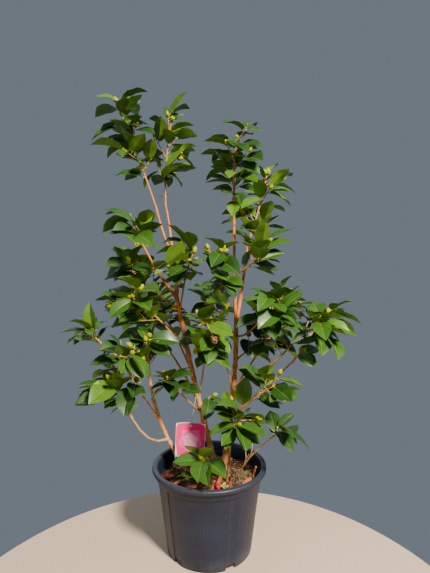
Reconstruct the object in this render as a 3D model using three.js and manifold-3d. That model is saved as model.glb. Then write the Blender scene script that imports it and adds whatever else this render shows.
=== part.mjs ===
// Camellia shrub in its nursery pot, in millimetres, +Z up. The origin is the middle of the
// pot's underside, and the plant's front looks along -Y.
import * as THREE from "three";
import { mergeVertices } from "three/addons/utils/BufferGeometryUtils.js";
import Module from "manifold-3d";

const wasm = await Module();
wasm.setup();

const RADIAN = Math.PI / 180;
const GAP = 0.3;

// Moulded pot: five channels run up its wall from five drain notches at its foot.
const POT = {
  height: 215,
  rimRadius: 144,
  rimInside: 131,
  rimDrop: 11,
  collarRadius: 134.5,
  collarDrop: 28,
  wallRadius: 130,
  footRadius: 107,
  wall: 3.6,
  floor: 5,
  facets: 28,
  channels: 5,
  firstChannel: -44,
  channelWidth: 24,
  channelDepth: 2,
  channelTop: 184,
  notchHeight: 13,
  notchDepth: 11,
};

// Potting mix: level where the stems stand, sinking a little toward the wall.
const SOIL = { level: 185, levelRadius: 96, sink: 5 };

// Care label, a card hung from the left stem by a thin loop.
const TAG = {
  width: 74,
  height: 102,
  thickness: 1,
  corner: 4,
  hole: 5,
  holeDrop: 8,
  top: [-46, -8, 322],
  turn: 2.5,
};
const TIE = { thickness: 1.5, ringHeight: 404, ringClear: 0.5, sides: 3, side: 4 };

// The rule by which every mass grows: angles in degrees, lengths in millimetres.
const RULE = {
  turn: 137.5,
  turnDrift: 20,
  twigAngle: 52,
  twigAngleDrift: 14,
  twigLift: 0.18,
  twigTries: 5,
  twigTurnAside: 50,
  twigRadius: [1.3, 1],
  stemSteps: 3,
  stemSides: 4,
  twigSides: 3,
  stemTip: 1.6,
  stemBase: 2.4,
  stemBare: 0.06,
  twigsEnd: 0.9,
  twigInside: 20,
  leavesEnd: 0.985,
  buddedTwigs: 0.2,
  apart: 10,
  leafLength: 79,
  leafWidth: 0.53,
  leafFold: 20,
  leafTries: 6,
  leafTurnAside: 55,
  leafKeel: 2,
  leafDroop: [15, 65],
  leafSlope: [-0.2, 1.33],
  budLength: 13,
  budRadius: 4.2,
  budTip: 0.5,
};
// Stations along a leaf as shares of its length, each with its share of the full half-width.
const LEAF_ROWS = [[0, 0], [0.13, 0.42], [0.42, 1], [0.74, 0.72], [1, 0]];

// Space kept free of leaves: the pot's rim and wall, the label and its loop, and the back.
const KEEP_OUT = {
  overSoil: 5,
  overRim: 6,
  insideWall: 122,
  back: 215,
  tagLow: [-98, -26],
  tagHigh: [2, 14],
  tagTop: 412,
};

// Stems stand on the soil at foot; a bough starts a share of the way along the limb it comes
// from. bow is how far the middle of the limb stands off its chord, radius its two ends.
const LIMBS = [
  { name: "left_stem", foot: [21, 12], tip: [-82, 0, 645], bow: [-1, 2, -21], radius: [7, 4.6] },
  { name: "right_stem", foot: [36, 26], tip: [67, 12, 568], bow: [10, 3, 17], radius: [7, 5] },
  { name: "low_left_stem", foot: [-60, 22], tip: [-147, -30, 461], bow: [-20, -4, 3], radius: [5.2, 3.2] },
  {
    name: "left_limb", from: "left_stem", at: 0.98,
    tip: [-157, -28, 761], bow: [0, 0, -6], radius: [3.6, 2.6],
  },
  { name: "left_leader", from: "left_stem", at: 1, tip: [-93, 8, 750], bow: [6, 0, 0], radius: [4.2, 3.4] },
  {
    name: "outer_shoot", from: "left_leader", at: 1,
    tip: [-132, 12, 859], bow: [2, 0, -20], radius: [2.9, 2.4],
  },
  {
    name: "inner_shoot", from: "left_leader", at: 0.95,
    tip: [-111, 32, 869], bow: [1, 0, 3], radius: [2.8, 2.2],
  },
  {
    name: "right_leader", from: "right_stem", at: 1,
    tip: [61, -5, 876], bow: [-2, -1, 3], radius: [4.2, 2.8],
  },
  {
    name: "right_back_limb", from: "right_stem", at: 0.98,
    tip: [100, 58, 774], bow: [-1, 1, -15], radius: [4.2, 3],
  },
  {
    name: "curved_left_branch", from: "low_left_stem", at: 0.32,
    tip: [-182, -72, 357], bow: [0, -13, -18], radius: [2.9, 2],
  },
  {
    name: "low_left_twin", from: "low_left_stem", at: 0.5,
    tip: [-168, -50, 415], bow: [-5, -5, 10], radius: [2.3, 1.7],
  },
  {
    name: "far_left_bough", from: "low_left_stem", at: 0.97,
    tip: [-251, -52, 525], bow: [-2, -4, -2], radius: [2.4, 1.7],
  },
  {
    name: "diagonal_branch", from: "left_stem", at: 0.25,
    tip: [198, -62, 489], bow: [-1, -14, -2], radius: [3, 1.8],
  },
  {
    name: "right_low_bough", from: "right_stem", at: 0.53,
    tip: [213, -72, 553], bow: [3, -15, -8], radius: [2.8, 2],
  },
  {
    name: "right_mid_bough", from: "right_stem", at: 0.9,
    tip: [128, -52, 597], bow: [-1, -11, -11], radius: [2.6, 2],
  },
  { name: "front_right_shoot", foot: [74, 2], tip: [146, -62, 302], bow: [-7, 0, 2], radius: [2.2, 1.6] },
  { name: "front_low_shoot", foot: [55, -20], tip: [-5, -78, 257], bow: [-4, -6, 16], radius: [2.2, 1.6] },
  { name: "base_shoot", foot: [44, -34], tip: [47, -82, 322], bow: [5, -4, 21], radius: [2.4, 1.8] },
  {
    name: "back_left_bough", from: "left_stem", at: 0.42,
    tip: [-166, 120, 536], bow: [2, 11, 15], radius: [3, 2.2],
  },
  {
    name: "back_right_bough", from: "right_stem", at: 0.5,
    tip: [174, 130, 521], bow: [-3, 9, -3], radius: [3, 2.2],
  },
];

// Masses of foliage. Each has a stem from a share along its limb to tip, side twigs, and
// leaves on both: leaves holds the count on the stem and on each twig. spread is how far from
// its stem a leaf may reach, bare the share of the stem with none, and seed picks one growth.
const MASSES = [
  {
    name: "outer_crown", onto: "outer_shoot", at: 1, tip: [-225, 8, 1112], bow: [5, 4, -8],
    spread: 105, bare: 0.32, twigs: 6, twigLength: 45, leaves: [10, 4], buds: 1, thick: 2.3, seed: 99,
  },
  {
    name: "inner_crown", onto: "inner_shoot", at: 1, tip: [-97, 46, 1082], bow: [-6, 1, -6],
    spread: 100, bare: 0.1, twigs: 6, twigLength: 50, leaves: [9, 4], buds: 2, thick: 2.2, seed: 48,
  },
  {
    name: "limb_crown", onto: "left_limb", at: 1, tip: [-172, -48, 810], bow: [-2, 0, -3],
    spread: 120, bare: 0, twigs: 3, twigLength: 40, leaves: [7, 3], buds: 2, thick: 2.3, seed: 84,
  },
  {
    name: "left_mid", onto: "left_stem", at: 0.93, tip: [-227, 75, 725], bow: [-4, 12, -9],
    spread: 115, bare: 0.35, twigs: 6, twigLength: 55, leaves: [7, 4], buds: 1, seed: 52,
  },
  {
    name: "left_mid_low", onto: "left_stem", at: 0.72, tip: [-178, -75, 642], bow: [-12, -20, 27],
    spread: 105, bare: 0.35, twigs: 6, twigLength: 50, leaves: [6, 4], buds: 2, seed: 44,
  },
  {
    name: "centre_mid", onto: "left_stem", at: 0.92, tip: [-37, -60, 744], bow: [1, -16, 19],
    spread: 95, bare: 0.2, twigs: 5, twigLength: 50, leaves: [6, 4], buds: 1, seed: 56,
  },
  {
    name: "far_left", onto: "far_left_bough", at: 1, tip: [-280, -64, 560], bow: [0, 0, 0],
    spread: 100, bare: 0.2, twigs: 1, twigLength: 35, leaves: [6, 3], buds: 2, seed: 90,
  },
  {
    name: "left_low", onto: "curved_left_branch", at: 1, tip: [-223, -110, 458], bow: [3, -4, 5],
    spread: 110, bare: 0.25, twigs: 5, twigLength: 55, leaves: [5, 4], buds: 1, seed: 98,
  },
  {
    name: "left_inner_low", onto: "low_left_stem", at: 1, tip: [-149, -60, 536], bow: [1, 0, 3],
    spread: 110, bare: 0, twigs: 4, twigLength: 60, leaves: [6, 4], buds: 1, thick: 2.8, seed: 38,
  },
  {
    name: "left_twin_low", onto: "low_left_twin", at: 1, tip: [-195, -115, 510], bow: [-2, -2, 1],
    spread: 100, bare: 0.3, twigs: 4, twigLength: 50, leaves: [5, 4], buds: 1, seed: 5,
  },
  {
    name: "left_back", onto: "left_stem", at: 0.6, tip: [-174, 125, 619], bow: [-3, 4, 35],
    spread: 105, bare: 0.4, twigs: 6, twigLength: 60, leaves: [6, 3], buds: 1, seed: 51,
  },
  {
    name: "centre_low", onto: "left_stem", at: 0.46, tip: [3, -65, 580], bow: [5, -12, 30],
    spread: 95, bare: 0.35, twigs: 6, twigLength: 50, leaves: [5, 4], buds: 1, seed: 24,
  },
  {
    name: "centre_low_left", onto: "left_stem", at: 0.38, tip: [-99, -85, 461], bow: [-9, -7, 6],
    spread: 85, bare: 0.5, twigs: 3, twigLength: 40, leaves: [5, 3], buds: 1, thick: 2, seed: 88,
  },
  {
    name: "low_centre", onto: "left_stem", at: 0.36, tip: [7, -24, 395], bow: [-2, -5, 13],
    spread: 80, bare: 0.3, twigs: 0, twigLength: 30, leaves: [4, 2], buds: 0, thick: 1.8, seed: 9,
  },
  {
    name: "centre_back", onto: "right_stem", at: 0.85, tip: [1, 85, 615], bow: [-1, 5, 11],
    spread: 95, bare: 0.3, twigs: 4, twigLength: 50, leaves: [6, 3], buds: 1, seed: 46,
  },
  {
    name: "right_crown", onto: "right_leader", at: 1, tip: [66, -12, 1016], bow: [-3, 1, 7],
    spread: 100, bare: 0, twigs: 7, twigLength: 55, leaves: [8, 4], buds: 2, thick: 2.6, seed: 72,
  },
  {
    name: "right_shoulder", onto: "right_back_limb", at: 1, tip: [152, 86, 957], bow: [1, 2, -10],
    spread: 100, bare: 0, twigs: 7, twigLength: 50, leaves: [8, 3], buds: 3, thick: 2.6, seed: 3,
  },
  {
    name: "right_mid_left", onto: "right_leader", at: 0.22, tip: [0, -62, 753], bow: [-6, -18, -1],
    spread: 95, bare: 0.25, twigs: 4, twigLength: 55, leaves: [5, 4], buds: 2, seed: 75,
  },
  {
    name: "right_mid_right", onto: "right_leader", at: 0.4, tip: [131, -35, 777], bow: [2, -10, -16],
    spread: 95, bare: 0.3, twigs: 6, twigLength: 50, leaves: [5, 4], buds: 1, seed: 6,
  },
  {
    name: "right_low_shoulder", onto: "right_mid_bough", at: 1, tip: [158, -80, 612], bow: [3, -2, -3],
    spread: 105, bare: 0, twigs: 6, twigLength: 55, leaves: [6, 4], buds: 2, seed: 35,
  },
  {
    name: "far_right", onto: "right_low_bough", at: 1, tip: [266, -90, 585], bow: [1, -1, 1],
    spread: 120, bare: 0, twigs: 4, twigLength: 45, leaves: [7, 4], buds: 3, thick: 2.2, seed: 74,
  },
  {
    name: "diagonal_tip", onto: "diagonal_branch", at: 1, tip: [218, -70, 514], bow: [-1, 0, 0],
    spread: 70, bare: 0, twigs: 0, twigLength: 30, leaves: [4, 2], buds: 0, seed: 18,
  },
  {
    name: "right_inner_low", onto: "right_stem", at: 0.72, tip: [151, -10, 544], bow: [6, -4, 8],
    spread: 100, bare: 0.2, twigs: 6, twigLength: 55, leaves: [5, 4], buds: 1, seed: 99,
  },
  {
    name: "diagonal_leaves", onto: "diagonal_branch", at: 0.4, tip: [154, -85, 440], bow: [9, -15, 14],
    spread: 85, bare: 0.2, twigs: 3, twigLength: 40, leaves: [5, 3], buds: 0, seed: 21,
  },
  {
    name: "base_cluster", onto: "base_shoot", at: 1, tip: [72, -95, 365], bow: [-1, -1, 3],
    spread: 100, bare: 0, twigs: 4, twigLength: 45, leaves: [5, 4], buds: 1, seed: 106,
  },
  {
    name: "front_right", onto: "front_right_shoot", at: 1, tip: [172, -78, 326], bow: [0, -2, 2],
    spread: 90, bare: 0, twigs: 0, twigLength: 40, leaves: [5, 2], buds: 1, seed: 25,
  },
  {
    name: "front_rosette", onto: "front_low_shoot", at: 1, tip: [-14, -86, 264], bow: [0, 0, -2],
    spread: 95, bare: 0, twigs: 0, twigLength: 30, leaves: [7, 2], buds: 1, seed: 49,
  },
  {
    name: "back_left", onto: "back_left_bough", at: 1, tip: [-235, 165, 601], bow: [-4, 8, -3],
    spread: 120, bare: 0, twigs: 6, twigLength: 60, leaves: [6, 3], buds: 1, seed: 40,
  },
  {
    name: "back_right", onto: "back_right_bough", at: 1, tip: [216, 170, 615], bow: [5, 5, -3],
    spread: 120, bare: 0, twigs: 6, twigLength: 60, leaves: [6, 2], buds: 1, seed: 7,
  },
];
const LIMB_SHAPE = { stemSteps: 6, stemSides: 8, boughSteps: 4, boughSides: 5, thin: 4.5 };
// Root flare: widening of the foot at heights above the soil, in millimetres.
const FLARE = [[0, 1.35], [5, 1.14], [14, 1.03]];

const COLOURS = {
  pot: 0x26282b,
  soil: 0x3a2a1f,
  bark: 0x8a6144,
  leaf: 0x2f5a25,
  card: 0xd8527a,
  tie: 0xd8d8d2,
};

// Vectors are plain arrays of three numbers.
const add = (a, b) => a.map((v, i) => v + b[i]);
const sub = (a, b) => a.map((v, i) => v - b[i]);
const times = (a, k) => a.map((v) => v * k);
const dot = (a, b) => a[0] * b[0] + a[1] * b[1] + a[2] * b[2];
const cross = (a, b) => [
  a[1] * b[2] - a[2] * b[1],
  a[2] * b[0] - a[0] * b[2],
  a[0] * b[1] - a[1] * b[0],
];
const size = (a) => Math.sqrt(dot(a, a));
const unit = (a) => times(a, 1 / size(a));
const mix = (a, b, t) => a.map((v, i) => v + (b[i] - v) * t);
const clamp = (value) => Math.min(Math.max(value, 0), 1);

// Seeded dice: one seed always gives the same rolls.
class Dice {
  constructor(seed) {
    this.state = seed;
    for (let i = 0; i < 5; i++) this.roll();
  }

  roll() {
    this.state = (this.state * 48271) % 2147483647;
    return this.state / 2147483647;
  }

  between(low, high) {
    return low + (high - low) * this.roll();
  }
}

// A line from start to tip whose middle stands off its chord by bow.
function bentLine(start, tip, bow, steps) {
  const points = [];
  for (let i = 0; i <= steps; i++) {
    const t = i / steps;
    points.push(add(mix(start, tip, t), times(bow, 4 * t * (1 - t))));
  }
  return points;
}

// The point a share of the way along a line, and the way that the line heads there.
function along(points, share) {
  const place = clamp(share) * (points.length - 1);
  const i = Math.min(Math.floor(place), points.length - 2);
  return { point: mix(points[i], points[i + 1], place - i), heading: unit(sub(points[i + 1], points[i])) };
}

// A direction square to heading, turned about it by an angle.
function sideways(heading, degrees) {
  const reference = Math.abs(heading[2]) > 0.95 ? [1, 0, 0] : [0, 0, 1];
  const across = unit(cross(heading, reference));
  const over = cross(across, heading);
  return add(times(across, Math.cos(degrees * RADIAN)), times(over, Math.sin(degrees * RADIAN)));
}

// Where a shoot starts so that its flat end stays clear of the limb that it comes from.
function clearStart(parent, share, tip, bow, radius) {
  const { point, heading } = along(parent.points, share);
  const out = unit(add(sub(tip, point), times(bow, 3.3)));
  const cosine = Math.abs(dot(out, heading));
  const sine = Math.sqrt(1 - cosine * cosine);
  const thick = parent.radius[0] + (parent.radius[1] - parent.radius[0]) * share;
  const pastTip = (GAP + radius * sine) / cosine;
  const pastSide = (thick + GAP + radius * cosine) / sine;
  return add(point, times(out, share === 1 ? pastTip : pastSide));
}

// Distances between points, segments and lines.
function pointGap(p, points) {
  let best = Infinity;
  for (let i = 0; i + 1 < points.length; i++) {
    const d = sub(points[i + 1], points[i]);
    const w = sub(p, points[i]);
    best = Math.min(best, size(sub(w, times(d, clamp(dot(w, d) / dot(d, d))))));
  }
  return best;
}

function segmentGap(a, b, c, d) {
  const u = sub(b, a);
  const v = sub(d, c);
  const w = sub(a, c);
  const [uu, uv, vv, uw, vw] = [dot(u, u), dot(u, v), dot(v, v), dot(u, w), dot(v, w)];
  const spread = uu * vv - uv * uv;
  let s = spread > 1e-9 ? clamp((uv * vw - vv * uw) / spread) : 0;
  const t = clamp((uv * s + vw) / vv);
  s = clamp((uv * t - uw) / uu);
  return size(sub(add(a, times(u, s)), add(c, times(v, t))));
}

function lineGap(one, other) {
  let best = Infinity;
  for (let i = 0; i + 1 < one.length; i++) {
    for (let k = 0; k + 1 < other.length; k++) {
      best = Math.min(best, segmentGap(one[i], one[i + 1], other[k], other[k + 1]));
    }
  }
  return best;
}

// Whether the segment from a to b goes through a triangle.
function pierces(a, b, [p, q, r]) {
  const side = sub(q, p);
  const rib = sub(r, p);
  const way = sub(b, a);
  const h = cross(way, rib);
  const k = dot(side, h);
  if (Math.abs(k) < 1e-9) return false;
  const s = sub(a, p);
  const u = dot(s, h) / k;
  const w = cross(s, side);
  const v = dot(way, w) / k;
  const t = dot(rib, w) / k;
  return u >= 0 && v >= 0 && u + v <= 1 && t >= 0 && t <= 1;
}

// A ball round some points, by which far things are passed over.
function ballRound(points) {
  const low = [0, 1, 2].map((i) => Math.min(...points.map((p) => p[i])));
  const high = [0, 1, 2].map((i) => Math.max(...points.map((p) => p[i])));
  const centre = mix(low, high, 0.5);
  return { centre, reach: size(sub(high, centre)) };
}

const farApart = (one, other, more) => size(sub(one.centre, other.centre)) > one.reach + other.reach + more;

// Limbs, in the order of the list, so that a bough finds the limb it comes from.
function growLimbs() {
  const limbs = new Map();
  for (const limb of LIMBS) {
    const { name, from, at, foot, tip, bow, radius } = limb;
    const start = foot
      ? [...foot, SOIL.level + GAP]
      : clearStart(limbs.get(from), at, tip, bow, radius[0]);
    const steps = radius[0] > LIMB_SHAPE.thin ? LIMB_SHAPE.stemSteps : LIMB_SHAPE.boughSteps;
    const points = bentLine(start, tip, bow, steps);
    limbs.set(name, { ...limb, points, ball: ballRound(points) });
  }
  return limbs;
}

// The one stem of each mass, on which all of its twigs stand.
function growStems(limbs) {
  return MASSES.map((mass) => {
    const thick = mass.thick ?? RULE.stemBase;
    const start = clearStart(limbs.get(mass.onto), mass.at, mass.tip, mass.bow, thick);
    const points = bentLine(start, mass.tip, mass.bow, RULE.stemSteps);
    const bare = Math.max(mass.bare, RULE.stemBare);
    const radius = [thick, RULE.stemTip];
    return { mass, points, radius, leaves: mass.leaves[0], bare, ball: ballRound(points) };
  });
}

// Side twigs of one mass. A twig that comes too near a limb or another mass's shoots is turned
// about the stem, and skipped when no turn helps.
function growTwigs(stem, limbs, others) {
  const { mass } = stem;
  const dice = new Dice(mass.seed);
  const twigs = [];
  let turn = dice.between(0, 360);
  for (let i = 0; i < mass.twigs; i++) {
    turn += RULE.turn + dice.between(-RULE.turnDrift, RULE.turnDrift);
    const share = mass.bare + (RULE.twigsEnd - mass.bare) * (i + 0.6) / mass.twigs;
    const { point, heading } = along(stem.points, share);
    const angle = (RULE.twigAngle + dice.between(-RULE.twigAngleDrift, RULE.twigAngleDrift)) * RADIAN;
    const length = mass.twigLength * dice.between(0.7, 1.2);
    for (let tries = 0; tries < RULE.twigTries; tries++) {
      const side = sideways(heading, turn + RULE.twigTurnAside * tries);
      const open = add(times(heading, Math.cos(angle)), times(side, Math.sin(angle)));
      const out = unit(add(open, [0, 0, RULE.twigLift]));
      const points = [point, add(point, times(out, length))];
      const ball = ballRound(points);
      if (!twigFits(points, ball, stem, limbs, others)) continue;
      twigs.push({ mass, points, radius: RULE.twigRadius, leaves: mass.leaves[1], bare: 0.4, ball });
      break;
    }
  }
  return twigs;
}

function twigFits(points, ball, stem, limbs, others) {
  const tip = points.at(-1);
  if (pointGap(tip, stem.points) > stem.mass.spread - RULE.twigInside) return false;
  if (tip[2] < SOIL.level + 30 && Math.hypot(tip[0], tip[1]) > 90) return false;
  for (const other of others) {
    if (other.mass === stem.mass || farApart(ball, other.ball, RULE.apart)) continue;
    if (lineGap(points, other.points) < RULE.apart) return false;
  }
  for (const limb of limbs.values()) {
    const clear = limb.radius[0] + 3;
    if (!farApart(ball, limb.ball, clear) && lineGap(points, limb.points) < clear) return false;
  }
  return true;
}

// The stations of a leaf: its midrib bends down as it runs out, and its halves fold up a little.
function leafRows(base, heading, face, length, droop) {
  const across = unit(cross(heading, face));
  const up = cross(across, heading);
  const rows = [];
  let middle = base;
  let last = 0;
  for (const [share, wide] of LEAF_ROWS) {
    const bend = droop * RADIAN * (share + last) / 2;
    const way = add(times(heading, Math.cos(bend)), times(up, -Math.sin(bend)));
    middle = add(middle, times(way, (share - last) * length));
    const here = droop * RADIAN * share;
    const rise = add(times(up, Math.cos(here)), times(heading, Math.sin(here)));
    const half = 0.5 * wide * RULE.leafWidth * length;
    const fold = times(rise, half * Math.sin(RULE.leafFold * RADIAN));
    const out = times(across, half * Math.cos(RULE.leafFold * RADIAN));
    rows.push({ middle, rise, left: add(sub(middle, out), fold), right: add(add(middle, out), fold) });
    last = share;
  }
  return rows;
}

// The leaf's plain outline: six points of its rim round the widest station's middle.
function leafPlan(rows) {
  const [base, , wide, far, tip] = rows;
  const rim = [base.middle, wide.left, far.left, tip.middle, far.right, wide.right];
  const faces = rim.map((p, i) => [p, rim[(i + 1) % rim.length], wide.middle]);
  const border = rim.map((p, i) => [p, rim[(i + 1) % rim.length]]);
  const ribs = [3, 1, 5].map((i) => [wide.middle, rim[i]]);
  return {
    spots: [...rim.slice(1), wide.middle],
    faces,
    edges: [...border, ...ribs],
    outerEdges: [...border.slice(1, 5), ...ribs.slice(1)],
    ball: ballRound([rim[0], rim[1], rim[3], rim[5]]),
  };
}

function inKeepOut([x, y, z]) {
  const radius = Math.hypot(x, y);
  const { tagLow, tagHigh } = KEEP_OUT;
  if (z < SOIL.level + KEEP_OUT.overSoil || y > KEEP_OUT.back) return true;
  if (z < POT.height + KEEP_OUT.overRim && radius > KEEP_OUT.insideWall) return true;
  return x > tagLow[0] && x < tagHigh[0] && y > tagLow[1] && y < tagHigh[1] && z < KEEP_OUT.tagTop;
}

// A leaf keeps to its own mass: each spot is nearer one of its own shoots than any other's.
function inOwnSpace(spot, own, foreign) {
  if (pointGap(spot, own[0].points) > own[0].mass.spread) return false;
  const mine = Math.min(...own.map((shoot) => pointGap(spot, shoot.points))) + 1;
  return foreign.every(({ ball, points }) => {
    return size(sub(ball.centre, spot)) - ball.reach > mine || pointGap(spot, points) >= mine;
  });
}

// Whether a leaf touches a round limb or shoot.
function touchesLine(plan, edges, points, clear) {
  for (let i = 0; i + 1 < points.length; i++) {
    const [a, b] = [points[i], points[i + 1]];
    const piece = { centre: mix(a, b, 0.5), reach: size(sub(b, a)) / 2 };
    if (farApart(plan.ball, piece, clear)) continue;
    if (edges.some(([c, d]) => segmentGap(a, b, c, d) < clear)) return true;
    if (plan.faces.some((face) => pierces(a, b, face))) return true;
  }
  return false;
}

function touchesLeaf(plan, other) {
  if (farApart(plan.ball, other.ball, 0)) return false;
  const into = (edges, faces) => faces.some((face) => edges.some(([c, d]) => pierces(c, d, face)));
  return into(plan.edges, other.faces) || into(other.outerEdges, plan.faces);
}

function leafFits(plan, shoot, own, foreign, limbs, placed) {
  if (plan.spots.some(inKeepOut)) return false;
  if (!plan.spots.every((spot) => inOwnSpace(spot, own, foreign))) return false;
  const { edges } = plan;
  for (const limb of limbs.values()) {
    if (touchesLine(plan, edges, limb.points, limb.radius[0] + 1.5)) return false;
  }
  if (foreign.some((other) => touchesLine(plan, edges, other.points, 2.7))) return false;
  const border = edges.slice(1, 5);
  for (const other of own.slice(1)) {
    if (other !== shoot && touchesLine(plan, border, other.points, 1)) return false;
  }
  return !placed.some((other) => touchesLeaf(plan, other.plan));
}

// Leaves and buds of one mass. A leaf that would leave its space or touch a limb is turned
// about its shoot, and skipped when no turn helps.
function growLeaves(own, foreign, limbs) {
  const { mass } = own[0];
  const dice = new Dice(mass.seed + 5000);
  const leaves = [];
  const buds = [];
  for (const shoot of own) {
    let spin = dice.between(0, 360);
    for (let i = 0; i < shoot.leaves; i++) {
      const last = i === shoot.leaves - 1;
      const share = shoot.leaves > 1 ? Math.sqrt(i / (shoot.leaves - 1)) : 1;
      const { point, heading } = along(shoot.points, shoot.bare + (RULE.leavesEnd - shoot.bare) * share);
      spin += RULE.turn + dice.between(-RULE.turnDrift, RULE.turnDrift);
      const length = RULE.leafLength * dice.between(0.82, 1.13);
      const droop = dice.between(...RULE.leafDroop);
      const tilt = dice.between(-35, 35) * RADIAN;
      const rise = dice.between(-0.1, 0.6);
      const lean = dice.between(0.1, 0.6);
      for (let tries = 0; tries < RULE.leafTries; tries++) {
        const side = sideways(heading, spin + RULE.leafTurnAside * tries);
        const open = add(side, times(heading, last ? 1.2 : lean));
        let out = unit(add(open, [0, 0, rise - 0.12 * tries]));
        const level = Math.hypot(out[0], out[1]);
        const climb = Math.min(Math.max(out[2], RULE.leafSlope[0] * level), RULE.leafSlope[1] * level);
        out = unit([out[0], out[1], climb]);
        const above = Math.abs(out[2]) > 0.9 ? [0, -1, 0.3] : [0, -0.12, 1];
        const up = unit(sub(above, times(out, dot(out, above))));
        const face = add(times(up, Math.cos(tilt)), times(cross(out, up), Math.sin(tilt)));
        const rows = leafRows(point, out, face, length, droop - 6 * tries);
        const plan = leafPlan(rows);
        if (!leafFits(plan, shoot, own, foreign, limbs, leaves)) continue;
        leaves.push({ shoot, rows, plan });
        break;
      }
    }
    const budded = dice.roll() < RULE.buddedTwigs ? 1 : 0;
    const count = shoot === own[0] ? mass.buds : budded;
    for (let i = 0; i < count; i++) buds.push(growBud(shoot, i, spin));
  }
  return { leaves, buds };
}

// The first bud on a shoot ends it, and the others stand out beside that one.
function growBud(shoot, i, spin) {
  const { point, heading } = along(shoot.points, 1);
  if (i === 0) return { shoot, root: point, heading, ends: true };
  const side = sideways(heading, spin + 120 * i);
  return { shoot, root: sub(point, times(heading, 3)), heading: unit(add(heading, side)), ends: false };
}

// The whole plant: limbs, then every stem, then twigs mass by mass, then leaves mass by mass.
function growPlant() {
  const limbs = growLimbs();
  const stems = growStems(limbs);
  const shoots = [];
  for (const stem of stems) {
    const earlier = shoots.flat().filter((shoot) => shoot.mass !== stem.mass);
    shoots.push([stem, ...growTwigs(stem, limbs, [...stems, ...earlier])]);
  }
  const masses = shoots.map((own) => {
    const foreign = shoots.filter((other) => other !== own).flat();
    const { leaves, buds } = growLeaves(own, foreign, limbs);
    const bears = (shoot) => [...leaves, ...buds].some((grown) => grown.shoot === shoot);
    return { name: own[0].mass.name, stem: own[0], twigs: own.slice(1).filter(bears), leaves, buds };
  });
  return { limbs, masses };
}

// A closed body from corner points and triangles.
function closedBody(corners, faces) {
  const vertProperties = new Float32Array(corners.flat());
  const triVerts = new Uint32Array(faces.flat());
  return new wasm.Manifold(new wasm.Mesh({ numProp: 3, vertProperties, triVerts }));
}

// A closed body from a three.js geometry, with its shared corners merged.
function bodyOf(geometry) {
  geometry.deleteAttribute("normal");
  geometry.deleteAttribute("uv");
  const merged = mergeVertices(geometry, 1e-3);
  const index = merged.index.array;
  const faces = [];
  for (let i = 0; i < index.length; i += 3) {
    const [a, b, c] = [index[i], index[i + 1], index[i + 2]];
    if (a !== b && b !== c && c !== a) faces.push([a, b, c]);
  }
  const { array } = merged.attributes.position;
  const corners = [];
  for (let i = 0; i < array.length; i += 3) corners.push([...array.slice(i, i + 3)]);
  return closedBody(corners, faces);
}

function geometryOf(body, anchor) {
  const { vertProperties, triVerts, numProp } = body.getMesh();
  const geometry = new THREE.BufferGeometry();
  geometry.setAttribute("position", new THREE.BufferAttribute(vertProperties, numProp));
  geometry.setIndex(new THREE.BufferAttribute(triVerts, 1));
  geometry.translate(-anchor[0], -anchor[1], -anchor[2]);
  geometry.computeVertexNormals();
  return geometry;
}

// The largest piece of a joined body: loose scraps are dropped and sealed hollows filled.
function wholePiece(body) {
  return body.decompose().reduce((best, piece) => (piece.volume() > best.volume() ? piece : best));
}

const joined = (bodies) => bodies.reduce((whole, body) => whole.add(body));

// A tapering rod along a line, with flat ends. An end named level is cut level with the soil.
function rod(points, radii, sides, level) {
  const corners = [];
  let across = sideways(unit(sub(points[1], points[0])), 0);
  points.forEach((point, i) => {
    const before = points[Math.max(i - 1, 0)];
    const after = points[Math.min(i + 1, points.length - 1)];
    const heading = i === 0 && level ? [0, 0, 1] : unit(sub(after, before));
    across = unit(sub(across, times(heading, dot(across, heading))));
    const over = cross(heading, across);
    for (let k = 0; k < sides; k++) {
      const angle = 2 * Math.PI * k / sides;
      const spoke = add(times(across, Math.cos(angle)), times(over, Math.sin(angle)));
      corners.push(add(point, times(spoke, radii[i])));
    }
  });
  const faces = [];
  for (let i = 0; i + 1 < points.length; i++) {
    for (let k = 0; k < sides; k++) {
      const next = (k + 1) % sides;
      const [a, b] = [i * sides + k, i * sides + next];
      faces.push([a, b, b + sides], [a, b + sides, a + sides]);
    }
  }
  const end = (points.length - 1) * sides;
  for (let k = 1; k + 1 < sides; k++) {
    faces.push([0, k + 1, k], [end, end + k, end + k + 1]);
  }
  return closedBody(corners, faces);
}

const taper = ([wide, thin], points) => points.map((_, i) => wide + (thin - wide) * i / (points.length - 1));

// A limb of the plant. A stem gets its root flare from extra rings in its first stretch.
function limbBody({ foot, points, radius }) {
  const radii = taper(radius, points);
  if (!foot) return rod(points, radii, LIMB_SHAPE.boughSides, false);
  const heading = unit(sub(points[1], points[0]));
  const flarePoints = FLARE.map(([height]) => add(points[0], times(heading, height / heading[2])));
  const flareRadii = FLARE.map(([, wider]) => radius[0] * wider);
  const whole = [...flarePoints, ...points.slice(1)];
  const sides = radius[0] > LIMB_SHAPE.thin ? LIMB_SHAPE.stemSides : LIMB_SHAPE.boughSides;
  return rod(whole, [...flareRadii, ...radii.slice(1)], sides, true);
}

// A leaf: a top that bends across two lines, and a keel under its midrib for its thickness.
function leafBody({ rows }) {
  const [base, , wide, far, tip] = rows;
  const keel = sub(wide.middle, times(wide.rise, RULE.leafKeel));
  const rim = [base.middle, wide.left, far.left, tip.middle, far.right, wide.right];
  const top = [[0, 5, 1], [1, 5, 4], [1, 4, 2], [2, 4, 3]];
  const under = rim.map((_, i) => [i, (i + 1) % rim.length, 6]);
  return closedBody([...rim, keel], [...top, ...under]);
}

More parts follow.
